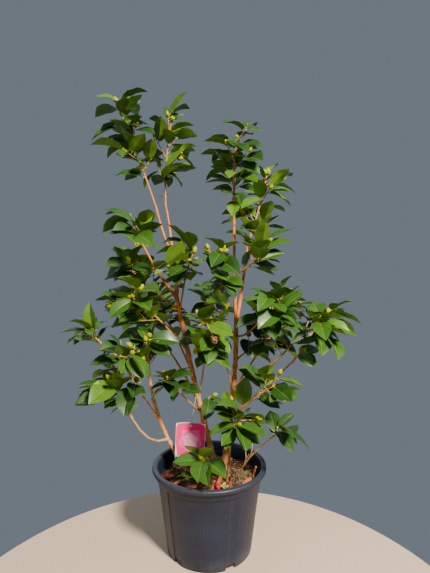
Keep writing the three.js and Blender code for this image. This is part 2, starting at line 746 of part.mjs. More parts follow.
// A flower bud: a four-sided spindle, widest a little before its middle.
function budBody({ root, heading }) {
  const across = sideways(heading, 0);
  const over = cross(heading, across);
  const waist = add(root, times(heading, 0.45 * RULE.budLength));
  const ring = [0, 1, 2, 3].map((k) => {
    const angle = 2 * Math.PI * k / 4;
    const spoke = add(times(across, Math.cos(angle)), times(over, Math.sin(angle)));
    return add(waist, times(spoke, RULE.budRadius));
  });
  const corners = [sub(root, times(heading, 1)), ...ring, add(root, times(heading, RULE.budLength))];
  const faces = ring.flatMap((_, k) => {
    const [a, b] = [1 + k, 1 + (k + 1) % 4];
    return [[0, b, a], [5, a, b]];
  });
  return closedBody(corners, faces);
}

// A shoot, swollen into a bud at its end where it bears one.
function shootBody(shoot, sides, bud) {
  const points = [...shoot.points];
  const radii = taper(shoot.radius, points);
  if (bud) {
    points.push(...[0.45, 1].map((share) => add(bud.root, times(bud.heading, share * RULE.budLength))));
    radii.push(RULE.budRadius, RULE.budTip);
  }
  return rod(points, radii, sides, false);
}

function massBody({ stem, twigs, leaves, buds }) {
  const endBud = (shoot) => buds.find((bud) => bud.shoot === shoot && bud.ends);
  const shoots = [
    shootBody(stem, RULE.stemSides, endBud(stem)),
    ...twigs.map((twig) => shootBody(twig, RULE.twigSides, endBud(twig))),
  ];
  const sideBuds = buds.filter((bud) => !bud.ends);
  return wholePiece(joined([...shoots, ...leaves.map(leafBody), ...sideBuds.map(budBody)]));
}

// A turned shape about the upright axis from a list of radius and height.
function turned(profile) {
  const outline = profile.map(([radius, height]) => new THREE.Vector2(radius, height));
  return bodyOf(new THREE.LatheGeometry(outline, POT.facets).rotateX(Math.PI / 2));
}

// The wall's outer and inner radius at a height.
const wallRise = (POT.wallRadius - POT.footRadius) / (POT.height - POT.collarDrop);
const outerRadius = (height) => POT.footRadius + wallRise * height;
const innerRadius = (height) => outerRadius(height) - POT.wall;

function potBody() {
  const { height, rimRadius, rimInside, rimDrop, collarRadius, collarDrop, floor } = POT;
  const underCollar = height - collarDrop;
  let pot = turned([
    [0, 0],
    [POT.footRadius - 1.5, 0],
    [outerRadius(1.5), 1.5],
    [POT.wallRadius, underCollar],
    [collarRadius, underCollar + 2],
    [collarRadius + 0.5, height - rimDrop - 1],
    [rimRadius - 1, height - rimDrop],
    [rimRadius, height - 4],
    [rimRadius - 3, height],
    [rimInside + 2.5, height],
    [rimInside, height - 3],
    [innerRadius(underCollar), underCollar],
    [innerRadius(floor), floor],
    [0, floor],
  ]);
  for (let i = 0; i < POT.channels; i++) {
    const angle = (POT.firstChannel + 360 * i / POT.channels) * RADIAN;
    pot = pot.subtract(channelCutter(angle)).subtract(notchCutter(angle));
  }
  return pot;
}

// A flat-bottomed channel up the sloping wall, cut by a box laid against it.
function channelCutter(angle) {
  const thick = 20;
  const length = POT.channelTop + 20;
  const box = new THREE.BoxGeometry(POT.channelWidth, thick, length);
  box.translate(0, POT.channelDepth - thick / 2, POT.channelTop - length / 2);
  box.rotateX(Math.atan(wallRise));
  box.translate(0, -outerRadius(0), 0);
  return bodyOf(box.rotateZ(angle));
}

function notchCutter(angle) {
  const box = new THREE.BoxGeometry(POT.channelWidth, 2 * POT.notchDepth, 2 * POT.notchHeight);
  box.translate(0, -POT.footRadius, 0);
  return bodyOf(box.rotateZ(angle));
}

function soilBody() {
  const { level, levelRadius, sink } = SOIL;
  const bottom = POT.floor + GAP;
  const edge = level - sink;
  return turned([
    [0, bottom],
    [innerRadius(bottom) - GAP, bottom],
    [innerRadius(edge) - GAP, edge],
    [(innerRadius(edge) + levelRadius) / 2, level - 0.3 * sink],
    [levelRadius, level],
    [0, level],
  ]);
}

// The label's card hangs down from its top middle, in the plane that faces -Y.
function cardBody() {
  const { width, height, thickness, corner, hole, holeDrop } = TAG;
  const right = width / 2;
  const card = new THREE.Shape();
  card.moveTo(-right, -height);
  card.lineTo(right, -height);
  card.lineTo(right, -corner);
  card.absarc(right - corner, -corner, corner, 0, Math.PI / 2);
  card.absarc(corner - right, -corner, corner, Math.PI / 2, Math.PI);
  card.closePath();
  const eye = new THREE.Path();
  eye.absarc(0, -holeDrop, hole / 2, 0, 2 * Math.PI, true);
  card.holes.push(eye);
  const settings = { depth: thickness, bevelEnabled: false, curveSegments: 4 };
  return bodyOf(new THREE.ExtrudeGeometry(card, settings).rotateX(Math.PI / 2));
}

// The loop goes round the left stem, down to the card's hole, through it and up again.
function tieBody(stem) {
  const { thickness, ringHeight, ringClear, sides, side } = TIE;
  const radius = thickness / 2;
  const share = (ringHeight - stem.points[0][2]) / (stem.points.at(-1)[2] - stem.points[0][2]);
  const { point, heading } = along(stem.points, share);
  const stemRadius = stem.radius[0] + (stem.radius[1] - stem.radius[0]) * share;
  const reach = stemRadius + ringClear + radius;
  const ring = new THREE.TorusGeometry(reach, radius, sides, 10);
  const turn = new THREE.Quaternion();
  turn.setFromUnitVectors(new THREE.Vector3(0, 0, 1), new THREE.Vector3(...heading));
  ring.applyQuaternion(turn).translate(...point);
  const knot = add(point, times(unit([-1, -1, 0]), reach));
  const [x, y, top] = TAG.top;
  const eye = [x, y, top - TAG.holeDrop];
  const strand = [
    knot,
    mix(knot, add(eye, [0, -side, 0]), 0.5),
    add(eye, [0, -side, 2]),
    add(eye, [0, side, 2]),
    mix(knot, add(eye, [0, side, 0]), 0.5),
    add(knot, [0, radius, radius]),
  ];
  const loop = rod(strand, strand.map(() => radius), sides, false);
  return wholePiece(joined([bodyOf(ring), loop]));
}

const materials = {
  pot: new THREE.MeshStandardMaterial({ color: COLOURS.pot, roughness: 0.5, metalness: 0 }),
  soil: new THREE.MeshStandardMaterial({ color: COLOURS.soil, roughness: 0.95, metalness: 0 }),
  bark: new THREE.MeshStandardMaterial({ color: COLOURS.bark, roughness: 0.8, metalness: 0 }),
  leaf: new THREE.MeshStandardMaterial({ color: COLOURS.leaf, roughness: 0.35, metalness: 0 }),
  card: new THREE.MeshStandardMaterial({ color: COLOURS.card, roughness: 0.4, metalness: 0 }),
  tie: new THREE.MeshStandardMaterial({ color: COLOURS.tie, roughness: 0.5, metalness: 0 }),
};

// A named sub-part whose mesh sits at its own anchor point.
function subPart(name, body, material, anchor = [0, 0, 0]) {
  const mesh = new THREE.Mesh(geometryOf(body, anchor), material);
  mesh.name = name;
  mesh.position.set(...anchor);
  return mesh;
}

const shrub = new THREE.Group();
const container = new THREE.Group();
container.add(subPart("pot", potBody(), materials.pot), subPart("soil", soilBody(), materials.soil));

const plant = new THREE.Group();
const { limbs, masses } = growPlant();
for (const limb of limbs.values()) {
  plant.add(subPart(limb.name, limbBody(limb), materials.bark, limb.points[0]));
}
for (const mass of masses) {
  plant.add(subPart(mass.name, massBody(mass), materials.leaf, mass.stem.points[0]));
}

const label = new THREE.Group();
const card = subPart("care_tag", cardBody(), materials.card);
card.position.set(...TAG.top);
card.rotation.y = TAG.turn * RADIAN;
label.add(card, subPart("tag_tie", tieBody(limbs.get("left_stem")), materials.tie));

shrub.add(container, plant, label);

export default shrub;
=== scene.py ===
"""Camellia shrub in its nursery pot, dressed round its fixed solids.

The rule that grew the solids is written again here, in millimetres, and carried on to finer
twigs and smaller leaves, so every stem, twig, leaf and bud stands where the solids have it.
"""
from functools import lru_cache
from math import asin, ceil, cos, degrees, hypot, inf, pi, radians, sin, sqrt
from types import SimpleNamespace as Sizes

import bmesh
import bpy
import numpy as np
from bpy.props import FloatProperty, FloatVectorProperty, IntProperty, PointerProperty
from bpy.types import Operator, Panel, PropertyGroup
from mathutils import Matrix, Vector, noise


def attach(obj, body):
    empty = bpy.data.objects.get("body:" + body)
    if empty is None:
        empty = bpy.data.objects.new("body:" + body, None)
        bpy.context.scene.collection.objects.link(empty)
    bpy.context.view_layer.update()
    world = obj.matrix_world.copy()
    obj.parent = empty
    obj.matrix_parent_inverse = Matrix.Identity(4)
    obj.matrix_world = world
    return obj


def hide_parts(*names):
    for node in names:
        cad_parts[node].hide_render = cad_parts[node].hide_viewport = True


bl_info = {
    "name": "Potted camellia",
    "version": (1, 0, 0),
    "blender": (4, 5, 0),
    "location": "View3D > Sidebar > Camellia",
    "description": "Grows a camellia shrub in its nursery pot",
    "category": "Add Mesh",
}

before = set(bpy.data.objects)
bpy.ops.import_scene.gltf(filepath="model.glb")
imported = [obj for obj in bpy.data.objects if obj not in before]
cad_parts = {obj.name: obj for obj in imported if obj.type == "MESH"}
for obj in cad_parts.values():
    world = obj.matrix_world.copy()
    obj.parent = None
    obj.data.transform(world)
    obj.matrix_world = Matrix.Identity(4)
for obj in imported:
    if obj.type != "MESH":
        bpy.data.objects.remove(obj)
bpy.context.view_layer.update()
MM = 0.001

# Real sizes in millimetres. The origin is the middle of the pot's underside, the front is -Y.
GAP = 0.3
POT = Sizes(
    height=215, rim_radius=144, rim_inside=131, rim_drop=11, collar_radius=134.5, collar_drop=28,
    wall_radius=130, foot_radius=107, wall=3.6, floor=5, channels=5, first_channel=-44,
    channel_width=24, channel_depth=2, channel_top=184, notch_height=13, notch_depth=11,
)
SOIL = Sizes(level=185, level_radius=96, sink=5)
TAG = Sizes(
    width=74, height=102, thickness=1, corner=4, hole=5, hole_drop=8, top=(-46, -8, 322), turn=2.5,
)
TIE = Sizes(thickness=1.5, ring_height=404, ring_clear=0.5, side=4)

# The rule by which every mass grows, in degrees and millimetres.
RULE = Sizes(
    turn=137.5, turn_drift=20, twig_angle=52, twig_angle_drift=14, twig_lift=0.18, twig_tries=5,
    twig_turn_aside=50, twig_radius=(1.3, 1), stem_steps=3, stem_tip=1.6, stem_base=2.4,
    stem_bare=0.06, twigs_end=0.9, twig_inside=20, leaves_end=0.985, budded_twigs=0.2, apart=10,
    twig_share=(0.7, 1.2), twig_bare=0.4, leaf_share=(0.82, 1.13), leaf_tilt=35, leaf_rise=(-0.1, 0.6),
    leaf_lean=(0.1, 0.6), last_lean=1.2, rise_lost=0.12, droop_lost=6, leaf_length=79,
    leaf_width=0.53, leaf_fold=20, leaf_tries=6, leaf_turn_aside=55, leaf_droop=(15, 65),
    leaf_slope=(-0.2, 1.33), bud_length=13, bud_radius=4.2, twig_off_limb=3, leaf_off_limb=1.5,
    leaf_off_shoot=2.7, leaf_off_twig=1,
)
# Stations along a leaf as shares of its length, each with its share of the full half-width.
LEAF_ROWS = ((0, 0), (0.13, 0.42), (0.42, 1), (0.74, 0.72), (1, 0))

# Finer growth on the same shoots: twiglets and the smaller leaves that fill in between.
FINE = Sizes(
    twiglet_every=26, twiglet_length=(14, 30), twiglet_angle=(42, 66), twiglet_radius=(0.9, 0.7),
    twiglet_apart=5, twiglet_tries=3, twiglets_end=0.96, twiglet_turn_aside=60, twiglet_lift=0.15,
    twiglet_bare=0.5, twiglet_foot=0.15, leaf_every=15, leaf_share=(0.5, 0.84), twiglet_leaves=2,
    seed_step=9000, full_below=600, thin_above=980, least=0.12,
)

# Space kept free: the soil, the pot's rim and wall, the label and its loop, and the back.
KEEP_OUT = Sizes(
    over_soil=5, over_rim=6, inside_wall=122, back=215, twig_over_soil=30, twig_inside=90,
    tag_low=(-98, -26), tag_high=(2, 14), tag_top=412,
)


def table(names, rows):
    """Rows under their names. A row may leave out its last columns."""
    return [Sizes(**dict(zip(names.split(), row))) for row in rows]


# Stems stand on the soil at foot; a bough starts at a share of its base. bow is how far the
# middle of a limb stands off its chord, radius its two ends.
LIMBS = table("name base at tip bow radius foot", (
    ("left_stem", None, None, (-82, 0, 645), (-1, 2, -21), (7, 4.6), (21, 12)),
    ("right_stem", None, None, (67, 12, 568), (10, 3, 17), (7, 5), (36, 26)),
    ("low_left_stem", None, None, (-147, -30, 461), (-20, -4, 3), (5.2, 3.2), (-60, 22)),
    ("left_limb", "left_stem", 0.98, (-157, -28, 761), (0, 0, -6), (3.6, 2.6)),
    ("left_leader", "left_stem", 1, (-93, 8, 750), (6, 0, 0), (4.2, 3.4)),
    ("outer_shoot", "left_leader", 1, (-132, 12, 859), (2, 0, -20), (2.9, 2.4)),
    ("inner_shoot", "left_leader", 0.95, (-111, 32, 869), (1, 0, 3), (2.8, 2.2)),
    ("right_leader", "right_stem", 1, (61, -5, 876), (-2, -1, 3), (4.2, 2.8)),
    ("right_back_limb", "right_stem", 0.98, (100, 58, 774), (-1, 1, -15), (4.2, 3)),
    ("curved_left_branch", "low_left_stem", 0.32, (-182, -72, 357), (0, -13, -18), (2.9, 2)),
    ("low_left_twin", "low_left_stem", 0.5, (-168, -50, 415), (-5, -5, 10), (2.3, 1.7)),
    ("far_left_bough", "low_left_stem", 0.97, (-251, -52, 525), (-2, -4, -2), (2.4, 1.7)),
    ("diagonal_branch", "left_stem", 0.25, (198, -62, 489), (-1, -14, -2), (3, 1.8)),
    ("right_low_bough", "right_stem", 0.53, (213, -72, 553), (3, -15, -8), (2.8, 2)),
    ("right_mid_bough", "right_stem", 0.9, (128, -52, 597), (-1, -11, -11), (2.6, 2)),
    ("front_right_shoot", None, None, (146, -62, 302), (-7, 0, 2), (2.2, 1.6), (74, 2)),
    ("front_low_shoot", None, None, (-5, -78, 257), (-4, -6, 16), (2.2, 1.6), (55, -20)),
    ("base_shoot", None, None, (47, -82, 322), (5, -4, 21), (2.4, 1.8), (44, -34)),
    ("back_left_bough", "left_stem", 0.42, (-166, 120, 536), (2, 11, 15), (3, 2.2)),
    ("back_right_bough", "right_stem", 0.5, (174, 130, 521), (-3, 9, -3), (3, 2.2)),
))

# Masses of foliage. Each has a stem from a share of its base to tip, side twigs, and leaves on
# both: leaves counts those on the stem and on each twig. spread is how far from the stem a leaf
# may reach, bare the share of the stem with none, and seed picks one growth.
MASSES = table("name base at tip bow bare spread twigs twig_length leaves buds seed thick", (
    ("outer_crown", "outer_shoot", 1, (-225, 8, 1112), (5, 4, -8), 0.32, 105, 6, 45, (10, 4), 1, 99, 2.3),
    ("inner_crown", "inner_shoot", 1, (-97, 46, 1082), (-6, 1, -6), 0.1, 100, 6, 50, (9, 4), 2, 48, 2.2),
    ("limb_crown", "left_limb", 1, (-172, -48, 810), (-2, 0, -3), 0, 120, 3, 40, (7, 3), 2, 84, 2.3),
    ("left_mid", "left_stem", 0.93, (-227, 75, 725), (-4, 12, -9), 0.35, 115, 6, 55, (7, 4), 1, 52),
    ("left_mid_low", "left_stem", 0.72, (-178, -75, 642), (-12, -20, 27), 0.35, 105, 6, 50, (6, 4), 2, 44),
    ("centre_mid", "left_stem", 0.92, (-37, -60, 744), (1, -16, 19), 0.2, 95, 5, 50, (6, 4), 1, 56),
    ("far_left", "far_left_bough", 1, (-280, -64, 560), (0, 0, 0), 0.2, 100, 1, 35, (6, 3), 2, 90),
    ("left_low", "curved_left_branch", 1, (-223, -110, 458), (3, -4, 5), 0.25, 110, 5, 55, (5, 4), 1, 98),
    ("left_inner_low", "low_left_stem", 1, (-149, -60, 536), (1, 0, 3), 0, 110, 4, 60, (6, 4), 1, 38, 2.8),
    ("left_twin_low", "low_left_twin", 1, (-195, -115, 510), (-2, -2, 1), 0.3, 100, 4, 50, (5, 4), 1, 5),
    ("left_back", "left_stem", 0.6, (-174, 125, 619), (-3, 4, 35), 0.4, 105, 6, 60, (6, 3), 1, 51),
    ("centre_low", "left_stem", 0.46, (3, -65, 580), (5, -12, 30), 0.35, 95, 6, 50, (5, 4), 1, 24),
    ("centre_low_left", "left_stem", 0.38, (-99, -85, 461), (-9, -7, 6), 0.5, 85, 3, 40, (5, 3), 1, 88, 2),
    ("low_centre", "left_stem", 0.36, (7, -24, 395), (-2, -5, 13), 0.3, 80, 0, 30, (4, 2), 0, 9, 1.8),
    ("centre_back", "right_stem", 0.85, (1, 85, 615), (-1, 5, 11), 0.3, 95, 4, 50, (6, 3), 1, 46),
    ("right_crown", "right_leader", 1, (66, -12, 1016), (-3, 1, 7), 0, 100, 7, 55, (8, 4), 2, 72, 2.6),
    ("right_shoulder", "right_back_limb", 1, (152, 86, 957), (1, 2, -10), 0, 100, 7, 50, (8, 3), 3, 3, 2.6),
    ("right_mid_left", "right_leader", 0.22, (0, -62, 753), (-6, -18, -1), 0.25, 95, 4, 55, (5, 4), 2, 75),
    ("right_mid_right", "right_leader", 0.4, (131, -35, 777), (2, -10, -16), 0.3, 95, 6, 50, (5, 4), 1, 6),
    ("right_low_shoulder", "right_mid_bough", 1, (158, -80, 612), (3, -2, -3), 0, 105, 6, 55,
        (6, 4), 2, 35),
    ("far_right", "right_low_bough", 1, (266, -90, 585), (1, -1, 1), 0, 120, 4, 45, (7, 4), 3, 74, 2.2),
    ("diagonal_tip", "diagonal_branch", 1, (218, -70, 514), (-1, 0, 0), 0, 70, 0, 30, (4, 2), 0, 18),
    ("right_inner_low", "right_stem", 0.72, (151, -10, 544), (6, -4, 8), 0.2, 100, 6, 55, (5, 4), 1, 99),
    ("diagonal_leaves", "diagonal_branch", 0.4, (154, -85, 440), (9, -15, 14), 0.2, 85, 3, 40,
        (5, 3), 0, 21),
    ("base_cluster", "base_shoot", 1, (72, -95, 365), (-1, -1, 3), 0, 100, 4, 45, (5, 4), 1, 106),
    ("front_right", "front_right_shoot", 1, (172, -78, 326), (0, -2, 2), 0, 90, 0, 40, (5, 2), 1, 25),
    ("front_rosette", "front_low_shoot", 1, (-14, -86, 264), (0, 0, -2), 0, 95, 0, 30, (7, 2), 1, 49),
    ("back_left", "back_left_bough", 1, (-235, 165, 601), (-4, 8, -3), 0, 120, 6, 60, (6, 3), 1, 40),
    ("back_right", "back_right_bough", 1, (216, 170, 615), (5, 5, -3), 0, 120, 6, 60, (6, 2), 1, 7),
))
MASS_NODES = [row.name for row in MASSES]
LIMB_SHAPE = Sizes(stem_steps=6, bough_steps=4, thin=4.5)


def unit(v):
    return v / sqrt(v @ v)


def size(v):
    return np.sqrt((v * v).sum(-1))


def cross(a, b):
    x = a[..., 1] * b[..., 2] - a[..., 2] * b[..., 1]
    y = a[..., 2] * b[..., 0] - a[..., 0] * b[..., 2]
    z = a[..., 0] * b[..., 1] - a[..., 1] * b[..., 0]
    return np.stack((x, y, z), -1)


class Dice:
    """Seeded dice: one seed always gives the same rolls."""

    def __init__(self, seed):
        self.state = seed
        for _ in range(5):
            self.roll()

    def roll(self):
        self.state = self.state * 48271 % 2147483647
        return self.state / 2147483647

    def between(self, low, high):
        return low + (high - low) * self.roll()

    def turn(self):
        """The turn from one twig or leaf to the next, in degrees."""
        return RULE.turn + self.between(-RULE.turn_drift, RULE.turn_drift)


def bent_line(start, tip, bow, steps):
    """A line from start to tip whose middle stands off its chord by bow."""
    t = np.arange(steps + 1)[:, None] / steps
    return start + (tip - start) * t + bow * (4 * t * (1 - t))


def along(points, share):
    """The point a share of the way along a line, and the line's heading there."""
    place = min(max(share, 0), 1) * (len(points) - 1)
    i = min(int(place), len(points) - 2)
    step = points[i + 1] - points[i]
    return points[i] + step * (place - i), unit(step)


def sideways(heading, turn):
    """A direction square to heading, turned about it by some degrees."""
    reference = np.array((1.0, 0, 0)) if abs(heading[2]) > 0.95 else np.array((0, 0, 1.0))
    across = unit(cross(heading, reference))
    angle = radians(turn)
    return across * cos(angle) + cross(across, heading) * sin(angle)


def clear_start(parent, share, tip, bow, radius):
    """Where a shoot starts so that its flat end is clear of the limb that it comes from."""
    point, heading = along(parent.points, share)
    out = unit(tip - point + bow * 3.3)
    cosine = abs(out @ heading)
    sine = sqrt(1 - cosine * cosine)
    past_tip = (GAP + radius * sine) / cosine
    past_side = (parent.thickness(share) + GAP + radius * cosine) / sine
    return point + out * (past_tip if share == 1 else past_side)


class Shoot:
    """A limb, a mass's stem or a twig. joint is the point on the axis of what it grows from, and
    a shoot without one stands on the soil."""

    def __init__(self, name, points, radius, leaves=0, bare=0, joint=None):
        self.name, self.points, self.radius = name, points, radius
        self.leaves, self.bare, self.joint = leaves, bare, joint

    def thickness(self, share):
        return self.radius[0] + (self.radius[1] - self.radius[0]) * share

    def length(self):
        return size(np.diff(self.points, axis=0)).sum()


class Lines:
    """The straight stretches of many shoots, with the room that each one asks for."""

    def __init__(self, shoots, room=0):
        self.start = np.array([spot for s in shoots for spot in s.points[:-1]]).reshape(-1, 3)
        self.end = np.array([spot for s in shoots for spot in s.points[1:]]).reshape(-1, 3)
        self.room = np.array([room(s) if callable(room) else room for s in shoots for _ in s.points[1:]])
        self.middle = (self.start + self.end) / 2
        self.half = size(self.end - self.start) / 2

    def near(self, centre, reach):
        """Start, end and room of the stretches that come near a ball."""
        chosen = size(self.middle - centre) <= reach + self.half + self.room
        return self.start[chosen], self.end[chosen], self.room[chosen]


def point_gaps(points, lines):
    """How far each point is from each stretch."""
    way = lines.end - lines.start
    off = points[:, None] - lines.start
    t = np.clip((off * way).sum(-1) / (way * way).sum(-1), 0, 1)
    return size(off - way * t[..., None])


def segment_gaps(a, b, c, d):
    """How far each segment from a to b is from each segment from c to d."""
    u = (b - a)[:, None]
    v = d - c
    w = a[:, None] - c
    uu, uv, vv = (u * u).sum(-1), (u * v).sum(-1), (v * v).sum(-1)
    uw, vw = (u * w).sum(-1), (v * w).sum(-1)
    spread = uu * vv - uv * uv
    slanted = spread > 1e-9
    s = np.where(slanted, np.clip((uv * vw - vv * uw) / np.where(slanted, spread, 1), 0, 1), 0)
    t = np.clip((uv * s + vw) / vv, 0, 1)
    s = np.clip((uv * t - uw) / uu, 0, 1)
    return size(w + u * s[..., None] - v * t[..., None])


def pierces(start, end, faces):
    """Whether any segment from start to end goes through any of the triangles."""
    if not len(start) or not len(faces):
        return False
    p = faces[:, 0]
    side, rib = faces[:, 1] - p, faces[:, 2] - p
    way = (end - start)[:, None]
    h = cross(way, rib)
    k = (side * h).sum(-1)
    slanted = np.abs(k) >= 1e-9
    k = np.where(slanted, k, 1)
    s = start[:, None] - p
    u = (s * h).sum(-1) / k
    w = cross(s, side)
    v = (way * w).sum(-1) / k
    t = (rib * w).sum(-1) / k
    return bool((slanted & (u >= 0) & (v >= 0) & (u + v <= 1) & (t >= 0) & (t <= 1)).any())


def lead(row, base, radius, steps):
    """The line of a row's limb or stem from its base, or from the soil, and its joint there."""
    tip, bow = np.array(row.tip, float), np.array(row.bow, float)
    if base:
        start, joint = clear_start(base, row.at, tip, bow, radius), along(base.points, row.at)[0]
    else:
        start, joint = np.array((*row.foot, SOIL.level + GAP), float), None
    return bent_line(start, tip, bow, steps), joint


def grow_limbs():
    """Limbs, in the order of the list, so that a bough finds the limb it comes from."""
    limbs = {}
    for row in LIMBS:
        steps = LIMB_SHAPE.stem_steps if row.radius[0] > LIMB_SHAPE.thin else LIMB_SHAPE.bough_steps
        points, joint = lead(row, limbs.get(row.base), row.radius[0], steps)
        limbs[row.name] = Shoot(row.name, points, row.radius, joint=joint)
    return limbs


class Mass:
    """One mass of foliage: the row that sets it and what it has grown."""

    def __init__(self, row, limbs):
        self.row, self.seed, self.spread = row, row.seed, row.spread
        thick = getattr(row, "thick", RULE.stem_base)
        points, joint = lead(row, limbs[row.base], thick, RULE.stem_steps)
        bare = max(row.bare, RULE.stem_bare)
        self.stem = Shoot(row.name, points, (thick, RULE.stem_tip), row.leaves[0], bare, joint)
        self.own, self.stem_line = [self.stem], Lines([self.stem])
        self.twiglets, self.leaves, self.buds = [], [], []


def grow_twigs(mass, near):
    """Side twigs of one mass. One too near a limb or another mass's shoots is turned about the
    stem, and skipped when no turn helps."""
    dice = Dice(mass.seed)
    turn = dice.between(0, 360)
    bare, count = mass.row.bare, mass.row.twigs
    for i in range(count):
        turn += dice.turn()
        share = bare + (RULE.twigs_end - bare) * (i + 0.6) / count
        point, heading = along(mass.stem.points, share)
        drift = RULE.twig_angle_drift
        angle = radians(RULE.twig_angle + dice.between(-drift, drift))
        length = mass.row.twig_length * dice.between(*RULE.twig_share)
        for tries in range(RULE.twig_tries):
            side = sideways(heading, turn + RULE.twig_turn_aside * tries)
            opened = heading * cos(angle) + side * sin(angle)
            out = unit(opened + np.array((0, 0, RULE.twig_lift)))
            points = np.array((point, point + out * length))
            if twig_fits(points, mass, near):
                kind = RULE.twig_radius, mass.row.leaves[1], RULE.twig_bare, point
                mass.own.append(Shoot(mass.stem.name, points, *kind))
                break


def twig_fits(points, mass, near):
    tip = points[-1:]
    if point_gaps(tip, mass.stem_line).min() > mass.spread - RULE.twig_inside:
        return False
    x, y, z = tip[0]
    if z < SOIL.level + KEEP_OUT.twig_over_soil and hypot(x, y) > KEEP_OUT.twig_inside:
        return False
    gaps = [segment_gaps(points[:-1], points[1:], lines.start, lines.end) < lines.room for lines in near]
    return not any(touching.any() for touching in gaps)


class Leaf:
    """A leaf's place and bend, and the plain outline that is tested against its neighbours."""

    def __init__(self, shoot, root, heading, face, length, droop):
        self.shoot, self.root, self.heading = shoot, root, heading
        self.length, self.droop = length, droop
        self.across = unit(cross(heading, face))
        self.up = cross(self.across, heading)
        fold = radians(RULE.leaf_fold)
        middle, last, middles, left, right = root, 0, [], [], []
        for share, wide in LEAF_ROWS:
            bend = radians(droop) * (share + last) / 2
            middle = middle + (heading * cos(bend) - self.up * sin(bend)) * ((share - last) * length)
            middles.append(middle)
            last, here = share, radians(droop) * share
            half = 0.5 * wide * RULE.leaf_width * length
            lift = (self.up * cos(here) + heading * sin(here)) * (half * sin(fold))
            out = self.across * (half * cos(fold))
            left.append(middle - out + lift)
            right.append(middle + out + lift)
        rim = np.array((middles[0], left[2], left[3], middles[4], right[3], right[2]))
        centre = middles[2]
        after = np.roll(rim, -1, 0)
        self.spots = np.vstack((rim[1:], centre))
        self.faces = np.stack((rim, after, np.broadcast_to(centre, rim.shape)), 1)
        ribs = rim[[3, 1, 5]]
        self.edge_start = np.vstack((rim, [centre] * 3))
        self.edge_end = np.vstack((after, ribs))
        low, high = rim[[0, 1, 3, 5]].min(0), rim[[0, 1, 3, 5]].max(0)
        self.centre = low + (high - low) * 0.5
        self.reach = size(high - self.centre)


# Which of a leaf's edges are tested: all, its free border, and that border with two ribs.
EVERY, BORDER, OUTER = slice(None), slice(1, 5), [1, 2, 3, 4, 7, 8]


def in_keep_out(spots):
    x, y, z = spots.T
    radius = np.hypot(x, y)
    near_soil = z < SOIL.level + KEEP_OUT.over_soil
    near_rim = (z < POT.height + KEEP_OUT.over_rim) & (radius > KEEP_OUT.inside_wall)
    over_tag = (spots > (*KEEP_OUT.tag_low, 0)) & (spots < (*KEEP_OUT.tag_high, KEEP_OUT.tag_top))
    return (near_soil | (y > KEEP_OUT.back) | near_rim | over_tag.all(1)).any()


def touches_lines(leaf, edges, lines):
    """Whether a leaf touches a round limb or shoot."""
    start, end, room = lines.near(leaf.centre, leaf.reach)
    if not len(start):
        return False
    gaps = segment_gaps(start, end, leaf.edge_start[edges], leaf.edge_end[edges])
    return (gaps < room[:, None]).any() or pierces(start, end, leaf.faces)


def touches_leaves(leaf, placed):
    close = [other for other in placed if size(leaf.centre - other.centre) <= leaf.reach + other.reach]
    if not close:
        return False
    if pierces(leaf.edge_start, leaf.edge_end, np.concatenate([other.faces for other in close])):
        return True
    starts = np.concatenate([other.edge_start[OUTER] for other in close])
    ends = np.concatenate([other.edge_end[OUTER] for other in close])
    return pierces(starts, ends, leaf.faces)


def leaf_fits(leaf, mass, others):
    """Whether a leaf has room. Each of its spots is nearer its own mass's shoots than another's."""
    if in_keep_out(leaf.spots):
        return False
    if point_gaps(leaf.spots, mass.stem_line).min(1).max() > mass.spread:
        return False
    mine = point_gaps(leaf.spots, mass.own_lines).min(1) + 1
    if (point_gaps(leaf.spots, mass.foreign_lines).min(1) < mine).any():
        return False
    if touches_lines(leaf, EVERY, mass.limb_lines) or touches_lines(leaf, EVERY, mass.foreign_lines):
        return False
    return not touches_lines(leaf, BORDER, others) and not touches_leaves(leaf, mass.leaves)


def grow_leaf(mass, shoot, share, spin, dice, last, length, others):
    """One leaf, turned about its shoot until it fits, and left out when no turn helps."""
    point, heading = along(shoot.points, share)
    length = RULE.leaf_length * dice.between(*length)
    droop = dice.between(*RULE.leaf_droop)
    tilt = radians(dice.between(-RULE.leaf_tilt, RULE.leaf_tilt))
    rise = dice.between(*RULE.leaf_rise)
    lean = dice.between(*RULE.leaf_lean)
    for tries in range(RULE.leaf_tries):
        side = sideways(heading, spin + RULE.leaf_turn_aside * tries)
        opened = side + heading * (RULE.last_lean if last else lean)
        out = unit(opened + np.array((0, 0, rise - RULE.rise_lost * tries)))
        level = hypot(out[0], out[1])
        low, high = RULE.leaf_slope
        out = unit(np.array((out[0], out[1], min(max(out[2], low * level), high * level))))
        above = np.array((0, -1, 0.3) if abs(out[2]) > 0.9 else (0, -0.12, 1))
        up = unit(above - out * (out @ above))
        face = up * cos(tilt) + cross(out, up) * sin(tilt)
        leaf = Leaf(shoot, point, out, face, length, droop - RULE.droop_lost * tries)
        if leaf_fits(leaf, mass, others):
            mass.leaves.append(leaf)
            return


def grow_leaves(mass):
    """Leaves and buds of one mass."""
    dice = Dice(mass.seed + 5000)
    for shoot in mass.own:
        others = Lines([other for other in mass.own[1:] if other is not shoot], RULE.leaf_off_twig)
        spin = dice.between(0, 360)
        for i in range(shoot.leaves):
            place = sqrt(i / (shoot.leaves - 1)) if shoot.leaves > 1 else 1
            share = shoot.bare + (RULE.leaves_end - shoot.bare) * place
            spin += dice.turn()
            last = i == shoot.leaves - 1
            grow_leaf(mass, shoot, share, spin, dice, last, RULE.leaf_share, others)
        budded = 1 if dice.roll() < RULE.budded_twigs else 0
        count = mass.row.buds if shoot is mass.stem else budded
        mass.buds += [Bud(shoot, i, spin) for i in range(count)]


